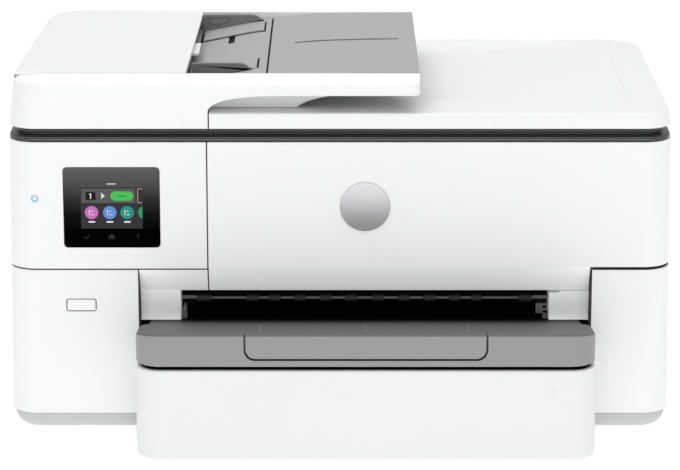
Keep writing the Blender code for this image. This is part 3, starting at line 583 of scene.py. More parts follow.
def make_exit_frame():
    """The grey cheeks at both ends of the paper exit, the lip's fixed end, and a bar behind them painted black
    as painted shade.
    """
    cheek = [(18.2, 129.8), (18.3, 126), (18.9, 121), (20.1, 116), (21.6, 111.5), (22.3, 108), (22.0, 105),
             (20.6, 103.2), (19.0, 102.5), (18.4, 102.2), (40, 102.2), (40, 129.8)]
    corner_cut = box(((SLOT_RIGHT - 1, SLOT_RIGHT + 9.6), (10, 30), (127.4, 133)))
    right_cheek = [(d, z if z < 129 else 129.0) for d, z in cheek]
    left_end = merged(
        prism("X", cheek, TRAY_LEFT + 0.5, SLOT_LEFT),
        prism("X", lip_section(), TRAY_LEFT + 0.5, DOOR_LEFT - SEAM_GAP),
        box(((TRAY_LEFT + 0.6, SLOT_LEFT - 0.1), (14.8, 30), (129.4, 131.5))),
    )
    piece("exit_cheek_left", left_end, "light_grey", "printer_body", "front_frame", soft=0.3)
    piece("exit_cheek_right", prism("X", right_cheek, SLOT_RIGHT, TRAY_RIGHT - 0.5), "light_grey",
          "printer_body", cuts=[corner_cut], soft=0.3)
    # a bar painted black as painted shade in the gap behind the cheeks
    shade_bar = box(((TRAY_LEFT + 0.4, TRAY_RIGHT - 0.4), (34.5, 40), (127, 142)))
    piece("exit_shade_bar", shade_bar, "black_plastic", "printer_body", soft=0.3)


def make_seam_shade_strips():
    """Black strips set just below the surface in the gaps between the mouldings, as painted shade inside the
    gaps.
    """
    level = [(0.8, SPLIT - 0.45), (0.8, SPLIT + 0.45), (3.2, SPLIT + 0.45), (3.2, SPLIT - 0.45)]
    path = case_path(DOOR_LEFT - SEAM_GAP, front_right(TRAY_RIGHT + 1.0))
    ledge = [(2.0, 153.0), (16.2, 131.4), (18.2, 131.4), (5.2, 153.0)]
    posts = box(
        ((DOOR_LEFT - 0.45, DOOR_LEFT + 0.45), (0.8, 3.2), (152.6, CASE_TOP - 1)),
        ((TRAY_LEFT - 0.5, TRAY_LEFT + 0.4), (1.4, 24), (89, 153)),
        ((TRAY_RIGHT - 0.4, TRAY_RIGHT + 0.5), (1.4, 24), (89, 153)),
    )
    shade_lining = merged(sweep(path, level), prism("X", ledge, DOOR_LEFT - 0.45, DOOR_LEFT + 0.45), posts)
    piece("seam_shade_strips", case_taper(shade_lining), "rubber", "printer_body")
    # a black strip in the lid's seam, painted shade
    post = box(((SEAM - 0.45, SEAM + 0.45), (0.9, 3.4), (280.4, LID_TOP - 0.3)))
    piece("lid_seam_shade_strip", lid_taper(post), "rubber", "lid")


def make_exit_brackets():
    """The roller shaft's grey end brackets, just inside the paper exit."""
    for side, x, out in (("left", SLOT_LEFT, 1), ("right", SLOT_RIGHT, -1)):
        spans = (
            (x + 1 * out, x + 11.5 * out, 20.6, 23, 107.6, 116.6),
            (x + 0.5 * out, x + 5.5 * out, 20.6, 23, 102.6, 110),
            (x + 0.5 * out, x + 14.5 * out, 20.6, 23, 122.6, 123.8),
        )
        plates = box(*((tuple(sorted(s[:2])), s[2:4], s[4:]) for s in spans))
        hole = bore((x + 4 * out, 22, 113.4), 1.6, 20)
        piece(f"shaft_bracket_{side}", plates, "dark_grey", "printer_body", cuts=[hole], soft=0.2)


def numeral(name, x, depth, z, height, body):
    """A raised outline of the figure one, as on the tray's corner and beside it."""
    wide = height * 0.62
    figure = [(0, 0), (0.38, 0), (0.38, 1), (0.12, 1), (-0.42, 0.7), (-0.28, 0.56), (0, 0.72)]
    spine = bpy.data.curves.new(name, "CURVE")
    spine.dimensions = "3D"
    line = spine.splines.new("POLY")
    line.points.add(len(figure) - 1)
    for point, (u, v) in zip(line.points, figure):
        point.co = (*at(x + u * wide, depth, z + (v - 0.5) * height), 1.0)
    line.use_cyclic_u = True
    spine.bevel_depth = 0.00042
    spine.bevel_resolution = 2
    spine.materials.append(LOOKS["mark_white"])
    obj = placed(name, spine)
    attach(obj, body)


# ---------------------------------------------------------------- controls


def plate(x_span, z_span, depth, thick=0.06, radius=0.0, steps=6):
    """A thin tile on the display's face."""
    outline = rounded(x_span, z_span, (radius,) * 4, steps)
    return prism("Y", outline, depth - thick, depth)


def disc_tile(x, z, radius, depth, thick=0.06, right=None):
    """A thin round tile, cut off at the screen's right edge where one is given."""
    outline = fillet((x, z), radius, 0, 360 - 360 / 40, 39)
    if right is not None:
        outline = [(min(u, right), v) for u, v in outline]
    bm = prism("Y", outline, depth - thick, depth)
    bmesh.ops.remove_doubles(bm, verts=bm.verts, dist=1e-8)
    return bm


def tiles(name, shapes, paint):
    return piece(name, merged(*shapes), paint, "printer_body", angle=20)


def make_display():
    """The touch display: a black cover glass with a lit picture of plain generic icons."""
    outline = rounded((-240.9, -157.2), (173.8, 245.5), (3.3,) * 4, 8)
    piece("display_cover", prism("Y", outline, -0.2, 3.0), "screen_glass", "printer_body", "display_glass",
          soft=0.3, segments=3)
    face, right = -0.21, -172.2
    tiles("screen_field", [plate((-226, right), (190.8, 228), face, 0.03)], "screen_dark")
    tiles("screen_top", [plate((-226, right), (228, 232.4), face, 0.03)], "screen_mid")
    tiles("screen_row", [plate((-225.4, -178.4), (213.8, 226.8), face - 0.03)], "screen_light")
    tiles("screen_marks_dark", [plate((-221.6, -212.9), (216.4, 223.6), face - 0.09)], "screen_box")
    tiles("screen_pill", [plate((-200.0, -180.0), (215.8, 224.2), face - 0.09, radius=4.1, steps=10)],
          "icon_green")
    icons = (("pink", -216.6), ("blue", -200.8), ("teal", -185.6))
    for colour, x in icons:
        tiles(f"screen_icon_{colour}", [disc_tile(x, 205.2, 5.9, face - 0.03)], f"icon_{colour}")
    tiles("screen_icon_green", [disc_tile(-170.4, 205.2, 5.7, face - 0.03, right=right)], "icon_leaf")
    marks = [plate((-202.8, -195.2), (230.5, 231.3), face - 0.03, radius=0.35)]
    for _, x in icons:
        marks.append(plate((x - 2.9, x + 2.9), (196.1, 197.5), face - 0.03, 0.03, 0.4))
        marks.append(plate((x - 2.3, x - 1.6), (202.9, 207.7), face - 0.09, 0.03, 0.3))
        marks.append(plate((x - 0.4, x + 2.3), (202.9, 203.6), face - 0.09, 0.03, 0.3))
        marks.append(plate((x - 0.4, x + 1.4), (206.2, 206.9), face - 0.09, 0.03, 0.3))
    figure = [(-217.6, 217.6), (-216.7, 217.6), (-216.7, 222.4), (-217.4, 222.4), (-218.5, 221.4),
              (-218.2, 220.9), (-217.6, 221.2)]
    arrow = [(-208.4, 217.4), (-204.8, 220.2), (-208.4, 223), (-207.6, 220.2)]
    marks += [prism("Y", figure, face - 0.2, face - 0.15), prism("Y", arrow, face - 0.12, face)]
    tiles("screen_marks_light", marks, "icon_white")
    edges = (((-176.6, right - 0.2), (213.8, 214.5)), ((-176.6, right - 0.2), (226.1, 226.8)),
             ((-176.6, -175.9), (213.8, 226.8)))
    tiles("screen_side_box", [plate(*edge, face - 0.03) for edge in edges], "icon_tan")
    tiles("screen_pill_mark", [plate((-194.2, -186), (219.3, 220.7), face - 0.15, 0.03, 0.5)], "icon_leaf")
    house = [(-202.2, 181.4), (-196.8, 181.4), (-196.8, 184), (-199.5, 186), (-202.2, 184)]
    back_arrow = [plate((-224, -219.6), (182, 182.8), face), plate((-220.4, -219.6), (182, 185), face)]
    help_mark = [plate((-176.7, -175.9), (181, 185.6), face), plate((-177.6, -175), (184.8, 185.6), face)]
    tiles("touch_marks", [*back_arrow, prism("Y", house, face - 0.06, face), *help_mark], "touch_grey")


def make_button_and_lamp():
    button = prism("Y", rounded((-239.8, -214.9), (116.1, 126.1), (1.8,) * 4, 6), -0.1, 6)
    piece("power_key", button, "white_shell", "power_button", "power_button", soft=0.45, segments=3)
    ring = lathe("Y", (-221.6, -0.1, 121.2), [(1.5, 0.02), (1.5, -0.05), (1.9, -0.05), (1.9, 0.02)], 32)
    stem = box(((-221.8, -221.4), (-0.15, -0.08), (121.6, 123.4)))
    piece("power_mark", merged(ring, stem), "light_grey", "power_button")
    ring = [(1.75, 3.5), (1.75, 0.1), (1.95, -0.05), (2.7, -0.05), (3.0, 0.25), (3.0, 3.5), (1.75, 3.5)]
    centre = (LAMP_X, 0.2, LAMP_Z)
    piece("lamp_ring", lathe("Y", centre, ring, 40), "lamp_blue", "printer_body", "status_lamp")
    core = [(0, 3.4), (0, 0.2), (1.3, 0.2), (1.65, 0.5), (1.65, 3.4)]
    piece("lamp_core", lathe("Y", centre, core, 40), "mark_white", "printer_body")


# ---------------------------------------------------------------- back and scanner


def make_rear():
    door = box(((-129.7, 169.7), (325.6, 328), (40.3, 129.7)))
    ribs = [box(((x, x + 2), (313.5, 326), (50, 118))) for x in range(-110, 160, 52)]
    grip = prism("Y", rounded((-15, 55), (117, 126), (3,) * 4, 5), 326.6, 340)
    piece("rear_cover", door, "white_shell", "rear_door", "rear_door", joins=ribs, cuts=[grip], soft=0.4)
    for name, paint in (("power_supply", "black_plastic"), ("main_board", "board_green")):
        refined(name, paint, 0.3)


def make_scanner():
    """The scanner's housing: a grey strip, a black groove and a darker band under the lid, the whole rim
    painted near black as painted shade under the lid.
    """
    strip = [(14, 262), (4.2, 262), (4.2, 268.2), (1.0, 268.9), (0.6, 269.4), (0.6, 271.2), (1.2, 272.1),
             (2.4, 272.5), (5.5, 272.5), (10.5, 272.7), (10.5, 274.8), (7.6, 274.8), (7.0, 275.2), (6.0, 278.9),
             (6.3, 279.2), (14, 279.2)]
    rim = case_taper(sweep(FRONT_RIGHT + OTHER_CORNERS, strip, closed=True))
    piece("scanner_rim", rim, "band_painted_shade", "printer_body")
    inset = 13.5  # how far the CAD's own bed is trimmed back behind the rim
    side, front, back = HALF - inset, FRONT_RADIUS - inset, BACK_RADIUS - inset
    plan = rounded((-side, side), (inset, DEPTH - inset), (front, front, back, back), 10)
    trimmed = piece("scanner_bed_core", cad_shape("scanner_bed"), "dark_grey", "printer_body",
                    keeps=[prism("Z", plan, 240, 290)], soft=0.3)
    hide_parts("scanner_bed")
    for name in ("scanner_glass", "feeder_glass"):
        refined(name, "clear_glass", 0.2)
    refined("scan_bar", "black_plastic", 0.5)
    refined("scan_rod", "steel", 0.0)


# ---------------------------------------------------------------- lid and document feeder


def ringed(rings):
    """A filled slab of rings, from the top's middle over the rim to the bottom's."""
    bm = skin(rings, ring=False)
    bm.verts.ensure_lookup_table()
    count = len(rings[0])
    first, last = ([bm.verts[i * count + j] for i in range(len(rings))] for j in (0, count - 1))
    bm.faces.new(first + last[::-1])
    return bm


def ramp(value, start, stop):
    """0 before start, 1 after stop, and smooth between them."""
    t = share_of(value, start, stop)
    return t * t * (3 - 2 * t)


def hollow_floor(x, depth):
    """Height of the lid's hollow: level under the feeder, rising to the right and to the back."""
    rise = max(0.0, (x - 45) / 210)
    level = 284.6 + 8.2 * rise ** 1.15
    foot = 293 + 14 * rise
    return level + (LID_TOP + 0.2 - level) * share_of(depth, foot, 325.5)


def hollow_tool():
    """The hollow as a solid: a height field under a lid-wide slab."""
    xs = [-140 + 410 * i / 46 for i in range(47)]
    depths = [40 + 230 * i / 12 for i in range(12)] + [270 + 66 * i / 22 for i in range(23)]
    top = 312.0
    rows = [[(x, 40, top)] + [(x, d, hollow_floor(x, d)) for d in depths] + [(x, 336, top)] for x in xs]
    return skin(rows)


def hinge_recess(x):
    """A tool for the notch in the lid's back edge that a hinge bracket sits in."""
    return box(((x, x + 36), (324.5, 340), (270, 300)))


def make_lid_plate():
    path = (
        [(SEAM + SEAM_GAP, 331.6, 0, 1)]
        + bend(LID_HALF - LID_CORNER, 294.6, LID_CORNER, 90, 0)
        + bend(LID_HALF - FRONT_RADIUS, FRONT_RADIUS, FRONT_RADIUS, 0, -90)
        + [(SEAM + SEAM_GAP, 0, 0, -1)]
    )
    profile = (
        [(9, LID_TOP)]
        + [(2.2 - u, LID_TOP - 2.2 + v) for u, v in fillet((0, 0), 2.2, 90, 0, 5)]
        + [(0, 280.6), (0.25, 280.05), (0.9, 279.8), (9, 279.8)]
    )
    plan = prism("Z", rounded((-130, 255), (54, 324.5), (1, 13, 11, 1), 8), 270, 340)
    tool = placed("hollow", mesh_of("hollow", hollow_tool()))
    carve(tool, "INTERSECT", plan)
    hollow = bmesh.new()
    hollow.from_mesh(tool.data)
    bpy.data.objects.remove(tool)
    cuts = [
        hollow,
        box(((-95, 240), (35, 285), (270, 283.2))),
        hinge_recess(172),
    ]
    shell = lid_taper(ringed([ring_of(path, *point) for point in profile]))
    piece("lid_shell", shell, "white_shell", "lid", "lid_plate", cuts=cuts, angle=30)
    refined("lid_pad", "foam_white", 0.8, 3)


def feeder_corners():
    """Stations round the feeder's two left corners, front one first."""
    round_back = BACK_RADIUS + 4
    corners = bend(FRONT_RADIUS - LID_HALF, FRONT_RADIUS, FRONT_RADIUS, 270, 180, 22)
    return corners + bend(round_back - LID_HALF, COVER_BACK - round_back, round_back, 180, 90, 18)


def slope_share(depth, facing):
    return ramp(-facing, 0.0, 1.0) if depth < FRONT_RADIUS + 1 else 0.0


def feeder_stations():
    """Stations round the feeder's housing, from its right end over the front and left to the back.

    Each is (outer, seam, inner, share): plan points, and 1 where the wide front slope is full."""
    right, low = FEEDER_RIGHT - 0.5, 7.0
    found = [((right, 16.5), (right, 16.6), (right - 4.2, 16.5), 1.0)]
    for i in range(9):
        a = math.radians(90 - 90 * i / 8)
        outer = (right - low + low * math.sin(a), low - low * math.cos(a))
        inner = (right - low + 2.8 * math.sin(a), low - 2.8 * math.cos(a))
        found.append((outer, (right - low * (1 - math.sin(a)), 16.0), inner, 1.0))
    back = [(-131.4, COVER_BACK, 0, 1), (-130.4, FEEDER_BACK, 0, 1), (FEEDER_RIGHT - 0.5, FEEDER_BACK, 0, 1)]
    for x, d, nx, nd in feeder_corners() + back:
        share = slope_share(d, nd)
        s = 0.9 + 15.1 * share
        found.append(((x, d), (x - s * nx, d - s * nd), (x - 4.2 * nx, d - 4.2 * nd), share))
    return found


def feeder_rows():
    rows = []
    for outer, seam, inner, share in feeder_stations():
        crease = 322.4 - 3.4 * share
        crown = 323.1 + 2.85 * share
        rebate = crown - 0.35 - 2.85 * share
        run = math.dist(outer, seam)

        def between(inset, z, start=outer, end=seam, length=run):
            t = inset / max(length, 1e-6)
            return (start[0] + (end[0] - start[0]) * t, start[1] + (end[1] - start[1]) * t, z)

        near = min(0.7, run * 0.5)
        rows.append([
            (*inner, 280.4), between(min(0.9, run * 0.8), 279.8), between(min(0.25, run * 0.3), 280.05),
            (*outer, 280.7), (*outer, crease - 1.2), between(near * 0.3, crease - 0.35),
            between(near, crease + 0.12 * share), between(run * 0.5, crease + (crown - crease) * 0.5),
            between(run - min(0.5, run * 0.3), crown - 0.12), (*seam, crown - 0.3), (*seam, rebate),
            (*inner, min(rebate, 318.4)),
        ])
    return rows


def arch(start, foot, reach, rise, end, span, power=2.3):
    """A tool under an arch that springs upright from a foot and runs on to the right."""
    line = [(start + reach * t, foot + rise * (1 - (1 - t) ** power) ** (1 / power)) for t in
            (0.005, 0.015, 0.03, 0.05, 0.08, 0.12, 0.17, 0.23, 0.3, 0.38, 0.47, 0.58, 0.7, 0.85, 1)]
    outline = [(start, 260), (start, foot)] + line + [(end, foot + rise), (end, 260)]
    return prism("Y", outline, *span)


def make_feeder_body():
    """The feeder's housing, with the long front wall, its arch and the lighter wall behind it."""
    low = LID_TOP + 0.35
    shell = drawn_in(lid_taper(skin(feeder_rows())), 323)
    cuts = [
        arch(SEAM - SEAM_GAP, low, 60, 15.2, 95, (-20, 22)),
        box(((SEAM - SEAM_GAP, 95), (21, 340), (260, low))),
        hinge_recess(-228),
        drawn_in(prism("Y", fillet(COVER_AXIS, 3.95, 0, 360, 24)[:-1], 17.9, 292), 318),
    ]
    piece("feeder_shell", shell, "white_shell", "lid", cuts=cuts, angle=32)
    inner = prism("Y", [(-120, low), (-120, 307), (-110, 311), (-80, 314), (68, 316.5), (68, low)], 23.5, 27)
    inner = piece("feeder_inner_wall", inner, "white_shell", "lid", soft=0.4,
                  cuts=[arch(-37.5, low - 0.5, 44, 12.2, 90, (10, 40), 1.6)])
    back = box(((-131.6, FEEDER_RIGHT - 1.2), (296.2, 299.8), (318, 326.6)))
    piece("feeder_back_rim", lid_taper(back), "white_shell", "lid", soft=0.6)
    keep = prism("Z", rounded((-283, 69), (4.4, 295.6), (18, 0, 0, 26), 10), 270, 307)
    core = piece("feeder_core", cad_shape("feeder_body"), "white_shell", "lid", keeps=[lid_taper(keep)],
                 cuts=[box(((SEAM - 1.2, 90), (-10, 30), (270, 320)))])
    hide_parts("feeder_body")
    shoulder = box(((-262, SEAM - SEAM_GAP), (298, 329.3), (280.2, LID_TOP - 0.2)))
    corner = prism("Z", rounded((-287.2, -200), (290, 329.3), (0, 0, 0, BACK_RADIUS), 14), 280.2, LID_TOP - 0.2)
    piece("feeder_shoulder", lid_taper(corner), "white_shell", "lid", soft=0.8, joins=[lid_taper(shoulder)],
          cuts=[hinge_recess(-228)])


def make_feeder_cover():
    """The cover: flush with the housing at the left, its front edge along the slope's crest."""
    corners = [(-133.9, 0, 0, -1)] + feeder_corners() + [(-130.7, COVER_BACK, 0, 1)]
    crown = FEEDER_TOP + 0.6
    rings = [[] for _ in range(11)]
    for x, d, nx, nd in corners:
        share = slope_share(d, nd)
        inset = 0.35 + 16.4 * share
        reach = 3.6 - 2.6 * share
        foot = 323.5
        shoulder = foot + 0.4 + 2.1 * share
        profile = [(inset + 7.5, crown), (inset + reach, crown)]
        for i in range(1, 7):
            a = math.radians(90 * i / 6)
            profile.append((inset + reach * (1 - math.sin(a)), shoulder + (crown - shoulder) * math.cos(a)))
        profile += [(inset, foot + 0.1), (inset + 0.6, foot - 0.1), (inset + 7.5, foot - 0.1)]
        for ring, (s, z) in zip(rings, profile):
            ring.append((x - s * nx, d - s * nd, z))
    cover = lid_taper(ringed(rings))
    edge = box(((-137.1, -134.5), (20, 292), (316.4, 324)))
    tab = box(((-134.7, -127.7), (128, 176), (318.2, 320.4)))
    knuckle = prism("Y", fillet(COVER_AXIS, 3.4, 180, 360, 24) + [(-276.9, 324.4), (-282.6, 324.4)], 25, 286)
    cover = drawn_in(merged(cover, knuckle), 318)
    piece("feeder_top_cover", cover, "white_shell", "feeder_cover", "feeder_cover", angle=30)
    piece("cover_guide_edge", edge, "dark_grey", "feeder_cover", soft=0.4)
    piece("cover_latch_tab", tab, "white_shell", "feeder_cover", soft=0.4)


# the tops of the deck and of the tray beside it, as (x, z)
DECK_LINE = [(-134.5, 309.2), (-124, 311.3), (-112, 313.7), (-98, 316.5), (-85, 319.0), (-76, 320.5),
             (-64.8, 321.5)]
TRAY_LINE = [(-63.2, 321.3), (-50, 322.6), (-37, 323.8), (-22, 324.8), (-5, 325.5), (15, 325.95), (40, 326.15),
             (69.2, 326.2)]


def along(line, x):
    """Height of a polyline at x."""
    for (x0, z0), (x1, z1) in zip(line, line[1:]):
        if x <= x1:
            return z0 + (z1 - z0) * (x - x0) / (x1 - x0)
    return line[-1][1]


def strip_of(line, thick, low, high):
    return prism("Y", line + [(x, z - thick) for x, z in reversed(line)], low, high)


def inlay(x_span, depth_span, lift, thick):
    """A thin plate that follows the deck's slope."""
    xs = [x_span[0] + (x_span[1] - x_span[0]) * i / 8 for i in range(9)]
    return strip_of([(x, along(DECK_LINE, x) + lift) for x in xs], thick, *depth_span)


def make_feeder_deck():
    deck = strip_of(DECK_LINE, 2.6, DECK_FRONT, DECK_BACK)
    cuts = [
        inlay((-131, -69.6), (227.4, 276.6), 9, 14),
        inlay((-103.6, -97.8), (197, 230), 9, 14),
        inlay((-131, -71.8), (62.6, 107.6), 9, 14),
    ]
    piece("deck_plate", deck, "feeder_grey", "lid", "feeder_deck", cuts=cuts, soft=0.25)
    # a black sheet under the deck: seen through the recesses, it paints their floors black as painted shade
    # around the guide soles
    lowered = [(x, z - 1.7) for x, z in DECK_LINE]
    under = strip_of(lowered + [(-61.6, 319.6)], 1.2, DECK_FRONT + 0.4, DECK_BACK - 0.4)
    piece("deck_shade_underlay", under, "black_plastic", "lid")
    tray = strip_of(TRAY_LINE, 4.0, DECK_FRONT, DECK_BACK)
    slot = [(-42, 161.2), (-41, 160.4), (53, 165.0), (53.8, 168.2), (52.8, 171.4), (-41.2, 166.6)]
    piece("tray_wing", tray, "feeder_grey", "input_tray", "input_tray", cuts=[prism("Z", slot, 300, 332)],
          soft=0.4)
    bed = strip_of([(x, z - 2.6) for x, z in TRAY_LINE if -50 < x < 60], 1.0, 157, 175)
    piece("tray_groove_bed", bed, "black_plastic", "input_tray")


def make_guides():
    """The two side guides of the feeder: an upright plate on a thin sole."""
    def plate_outline(top, right):
        return (
            [(-131.0, along(DECK_LINE, -131) + 0.6), (-131.0, top - 1.6)]
            + fillet((-129.4, top - 1.6), 1.6, 180, 90, 4)
            + fillet((right - 11, top - 11), 11, 90, 25, 8)
            + [(right, along(DECK_LINE, right) + 2.6), (right, along(DECK_LINE, right) + 0.6)]
            + [(x, along(DECK_LINE, x) + 0.6) for x in (-85, -98, -112, -124)]
        )

    back = prism("Y", plate_outline(327.2, -72.4), 277.2, 281.0)
    sole = inlay((-128.2, -71.2), (232.3, 278), 0.9, 1.3)
    dish = prism("Y", [(-125.5, 324.6), (-104.5, 324.6), (-103.4, 323.6), (-106.8, 319.6), (-116.5, 316.6),
                       (-120.5, 316.6), (-124, 318.4), (-126.4, 323.4)], 276.4, 278.0)
    piece("guide_plate_back", back, "guide_grey", "paper_guide_back", "paper_guide_back", soft=0.7, segments=3,
          cuts=[dish])
    rim = [(-124.6, 323.9), (-105.2, 323.9), (-107.4, 320.3), (-116.9, 317.4), (-120.2, 317.4), (-123.2, 319.0)]
    piece("guide_grip_back", prism("Y", rim, 277.2, 278.4), "guide_grey", "paper_guide_back", soft=0.5)
    piece("guide_sole_back", sole, "feeder_grey", "paper_guide_back", soft=0.3)
    front = prism("Y", plate_outline(325.9, -77.6), 58.0, 61.6)
    sole = inlay((-128.2, -73.6), (60.5, 103.5), 0.9, 1.3)
    piece("guide_plate_front", front, "guide_grey", "paper_guide_front", "paper_guide_front", soft=0.9,
          segments=3)
    piece("guide_sole_front", sole, "feeder_grey", "paper_guide_front", soft=0.3)


def roller_on(name, axis, centre, shaft, ends, sleeves, radius, body, paints=("steel", "rubber")):
    """A shaft with soft sleeves, each crowned at its ends, for the CAD node named as its body."""
    rod = [(0, ends[0]), (shaft - 0.3, ends[0]), (shaft, ends[0] + 0.3), (shaft, ends[1] - 0.3),
           (shaft - 0.3, ends[1]), (0, ends[1])]
    piece(name + "_shaft", lathe(axis, centre, rod, 28), paints[0], body, body)
    shapes = []
    for low, high in sleeves:
        profile = [(shaft - 0.2, low), (radius - 0.5, low), (radius, low + 0.5), (radius, high - 0.5),
                   (radius - 0.5, high), (shaft - 0.2, high)]
        shapes.append(lathe(axis, centre, profile + [profile[0]], 36))
    piece(name + "_sleeves", merged(*shapes), paints[1], body)


def make_lid():
    make_lid_plate()
    make_feeder_body()
    make_feeder_cover()
    make_feeder_deck()
    make_guides()
    roller_on("feeder_pick", "Y", (-152, 160, 310), 2.5, (-40, 40), [(-14, 14)], 7.5, "pick_roller")
    sleeves = [(start, start + 16) for start in (-80, -34, 18, 64)]
    roller_on("feeder_draw", "Y", (-186, 160, 308), 2.5, (-125, 125), sleeves, 6.5, "draw_roller")
    for side in ("left", "right"):
        refined(f"lid_hinge_{side}", "steel", 0.3)


# ---------------------------------------------------------------- trays


def make_paper_tray():
    low, high, lean = 2.4, 84.0, 0.9
    path = (
        [(-177.2, -0.6, -1, 0)]
        + bend(-155.2, TRAY_FRONT + 22.35, 22, 180, 270)
        + bend(200.0, TRAY_FRONT + 22.35, 22, 270, 360)
        + [(222.0, -0.6, 1, 0)]
    )
    section = (
        [(4.6, 8.0), (4.6, low)]
        + fillet((3.6, low + 3.6), 3.6, 270, 180, 6)
        + fillet((1.8 + lean, high - 1.8), 1.8, 180, 90, 5)
        + fillet((3.8 + lean, high - 0.8), 0.8, 90, 0, 3)
    )
    floor = prism("Z", rounded((-173.6, 217.6), (-72.0, -1.4), (18.5, 18.5, 0, 0), 14), low + 0.1, 8.5)
    piece("tray_front", sweep(path, section), "tray_white", "paper_tray", joins=[floor])
    behind = box(((-260, 260), (-1.0, 400), (0, 200)))
    # the tray's body is painted black, not white, as painted shade where it shows through the paper exit
    rear = piece("tray_body", cad_shape("paper_tray"), "black_plastic", "paper_tray", keeps=[behind], soft=0.3)
    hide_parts("paper_tray")
    numeral("mark_tray", 184.0, TRAY_FRONT + 1.05, 62.7, 20.0, "paper_tray")
    for name in ("width_guide_left", "width_guide_right", "length_guide"):
        refined(name, "guide_grey", 0.5)


def shelf_height(depth):
    return 116.1 + (depth + 73.0) * (101.8 - 116.1) / 91.0


def shelf_slab(crown=3.0, foot=1.6):
    """The output tray's solid: rounded in plan and along its edges, its top falling to the back."""
    front, low, left, right, round_back = TRAY_FRONT + 0.4, 87.6, -176.2, 220.4, 19.0
    shoulder = round_back * (1 - math.cos(math.radians(52)))
    path = (
        bend(right - 22, front + 22, 22, 0, -90, 16)
        + bend(left + 22, front + 22, 22, 270, 180, 16)
        + bend(left + round_back, -18, round_back, 180, 128, 8)
        + [(left + shoulder, 26, -1, 0), (right - shoulder, 26, 1, 0)]
        + bend(right - round_back, -18, round_back, 52, 0, 8)
    )
    rings = []
    for s, drop in ([(9.0, 0.0)] + [(crown - u, crown - v) for u, v in fillet((0, 0), crown, 90, 0, 6)]):
        rings.append([(x - s * nx, d - s * nd, shelf_height(d - s * nd) - drop) for x, d, nx, nd in path])
    for s, z in [(foot - u, low + foot - v) for u, v in fillet((0, 0), foot, 0, 90, 4)] + [(9.0, low)]:
        rings.append(ring_of(path, s, z))
    return skin(rings)


def paint_shade_on_upward_faces(obj, facing=0.6):
    """Paints the faces that look up with the shelf's darker grey, as painted shade under the printer body."""
    obj.data.materials.append(LOOKS["shelf_painted_shade"])
    for polygon in obj.data.polygons:
        if polygon.normal.z > facing:
            polygon.material_index = 1


def make_output_tray():
    room = prism("Y", rounded((-82.7, 127.1), (93.2, 150), (9.6, 9.6, 0, 0), 8), -90, -66)
    behind = prism("X", [(25.5, 89.3), (25.5, 100.3), (62, 100.3), (62, 89.3)], -170, 214)
    supports = box(((-169.4, -162), (-50, 40), (84.3, 88.6)), ((206, 213.4), (-50, 40), (84.3, 88.6)))
    slide_room = ((-78.4, 123.4), (-70, 90), (94.4, 98.4))
    shelf = piece("output_shelf", shelf_slab(), "tray_grey", "paper_tray", "output_tray", joins=[supports],
                  cuts=[room, box(slide_room)])
    # the shelf's tail inside the printer is painted black, as painted shade inside the paper exit
    piece("output_shelf_shade_tail", behind, "black_plastic", "paper_tray", cuts=[box(slide_room)], soft=0.3)
    run = [(d, shelf_height(d) + lift) for d, lift in ((-60, -0.2), (-60, 0.25), (-8, 0.25), (-8, -0.2))]
    ridges = [prism("X", run, x - 1.0, x + 1.0) for x in (-69, 22, 111.6)]
    piece("shelf_ridges", merged(*ridges), "shelf_rib_painted_shade", "paper_tray", soft=0.15)
    paint_shade_on_upward_faces(shelf)
    handle = prism("Y", rounded((-81.0, 125.4), (94.9, 150), (8.4, 8.4, 0, 0), 8), -90, -66.6)
    grip = piece("extension_handle", shelf_slab(), "tray_grey", "tray_extension", "tray_extension",
                 keeps=[handle], soft=0.35)
    paint_shade_on_upward_faces(grip)
    bar = box(((-78, 123), (-68, 58), (95.45, 98)))
    piece("extension_plate", bar, "tray_grey", "tray_extension", soft=0.4)


# ---------------------------------------------------------------- mechanism


def make_mechanism():
    for paint, soft, names in (
        ("steel", 0.25, ("tray_rails", "mech_chassis", "carriage_rod", "carriage_motor", "feed_motor")),
        ("black_plastic", 0.3, ("platen", "star_wheel_bar", "rear_paper_guide")),
        ("rubber", 0.15, ("carriage_belt",)),
        ("dark_grey", 0.4, ("service_station",)),
        ("black_plastic", 0.4, ("carriage",)),
        ("steel", 0.2, ("drive_pulley", "idler_pulley")),
        ("rubber", 0.3, ("feed_roller", "pickup_roller")),
    ):
        for name in names:
            refined(name, paint, soft)
    for name, paint in (("black", "black_plastic"), ("cyan", "cyan_label"), ("magenta", "magenta_label"),
                        ("yellow", "yellow_label")):
        refined(f"cartridge_{name}", paint, 0.4)
    spans = [(-127, -114), (-83, -72), (-63.3, -53), (-40.6, -30.4), (-18, -7.6), (4.9, 15.4), (28.6, 38.7),
             (51.8, 61.9), (74.5, 84.7), (97, 107), (116.6, 126.2), (158.6, 170)]
    roller_on("eject", "X", (0, 30, 119.4), 1.1, (SLOT_LEFT + 0.5, SLOT_RIGHT - 0.5), spans, 3.2,
              "eject_shaft", ("strip_grey", "roller_grey"))


# ---------------------------------------------------------------- stage


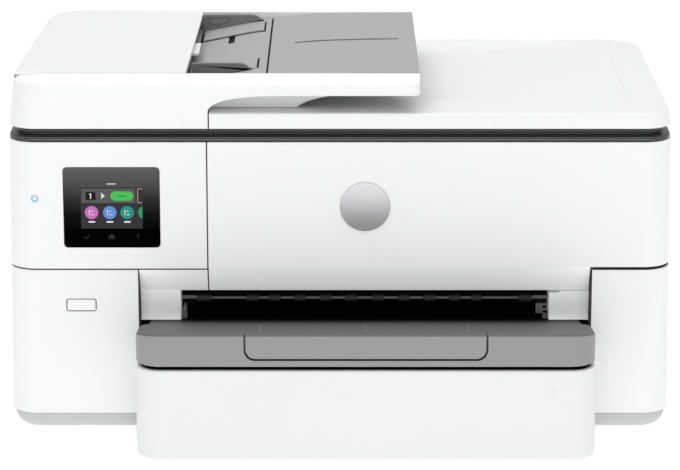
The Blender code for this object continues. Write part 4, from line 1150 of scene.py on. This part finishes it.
def make_floor():
    """A white sheet that mostly glows, so that the background stays white."""
    floor = look("floor_paper", (0.55, 0.55, 0.55), 0.9, grain=200, bump=0.02, drift=0.004,
                 Emission_Strength=0.72, Emission_Color=(1, 1, 1, 1))
    sheet = bmesh.new()
    bmesh.ops.create_grid(sheet, x_segments=4, y_segments=4, size=12.0)
    mesh = bpy.data.meshes.new("floor")
    sheet.to_mesh(mesh)
    sheet.free()
    mesh.materials.append(floor)
    obj = placed("floor", mesh)


def make_world():
    """Soft light from all round, a little less of it from the sides."""
    world = bpy.data.worlds.new("studio")
    scene.world = world
    world.use_nodes = True
    tree = world.node_tree
    back = tree.nodes["Background"]
    side = tree.nodes.new("ShaderNodeMath")
    side.operation = "ABSOLUTE"
    tree.links.new(coordinate(tree, "X", "Generated"), side.inputs[0])
    level = node(tree, "ShaderNodeMapRange", From_Min=0.3, From_Max=1.0, To_Min=0.60, To_Max=0.45)
    tree.links.new(side.outputs["Value"], level.inputs["Value"])
    tree.links.new(level.outputs["Result"], back.inputs["Color"])
    back.inputs["Strength"].default_value = 1.0


def area_light(name, place, target, size, power):
    lamp = bpy.data.lights.new(name, "AREA")
    lamp.shape = "RECTANGLE"
    lamp.size, lamp.size_y = size
    lamp.energy = power
    obj = placed(name, lamp)
    obj.location = place
    obj.rotation_euler = (Vector(target) - Vector(place)).to_track_quat("-Z", "Y").to_euler()


def make_camera():
    lens = bpy.data.cameras.new("camera")
    lens.lens, lens.sensor_width = 158.35, 36.0
    lens.clip_start, lens.clip_end = 0.05, 60.0
    camera = placed("camera", lens)
    camera.location = (0.0, -2.653, 0.8605)
    camera.rotation_euler = (math.radians(90 - 14.98), 0.0, 0.0)
    scene.camera = camera


make_base()
make_lower_case()
make_upper_case()
make_door()
make_exit_frame()
make_exit_brackets()
make_seam_shade_strips()
make_display()
make_button_and_lamp()
make_rear()
make_scanner()
make_lid()
make_paper_tray()
make_output_tray()
make_mechanism()
make_floor()
make_world()
area_light("front_box", (0.0, -3.0, 0.4), (0, 0, 0.15), (3.0, 0.6), 12.0)
area_light("top_box", (0.0, -0.1, 2.3), (0, 0, 0.2), (2.8, 2.0), 31.0)
make_camera()
scene.view_settings.view_transform = "Standard"
scene.view_settings.look = "None"
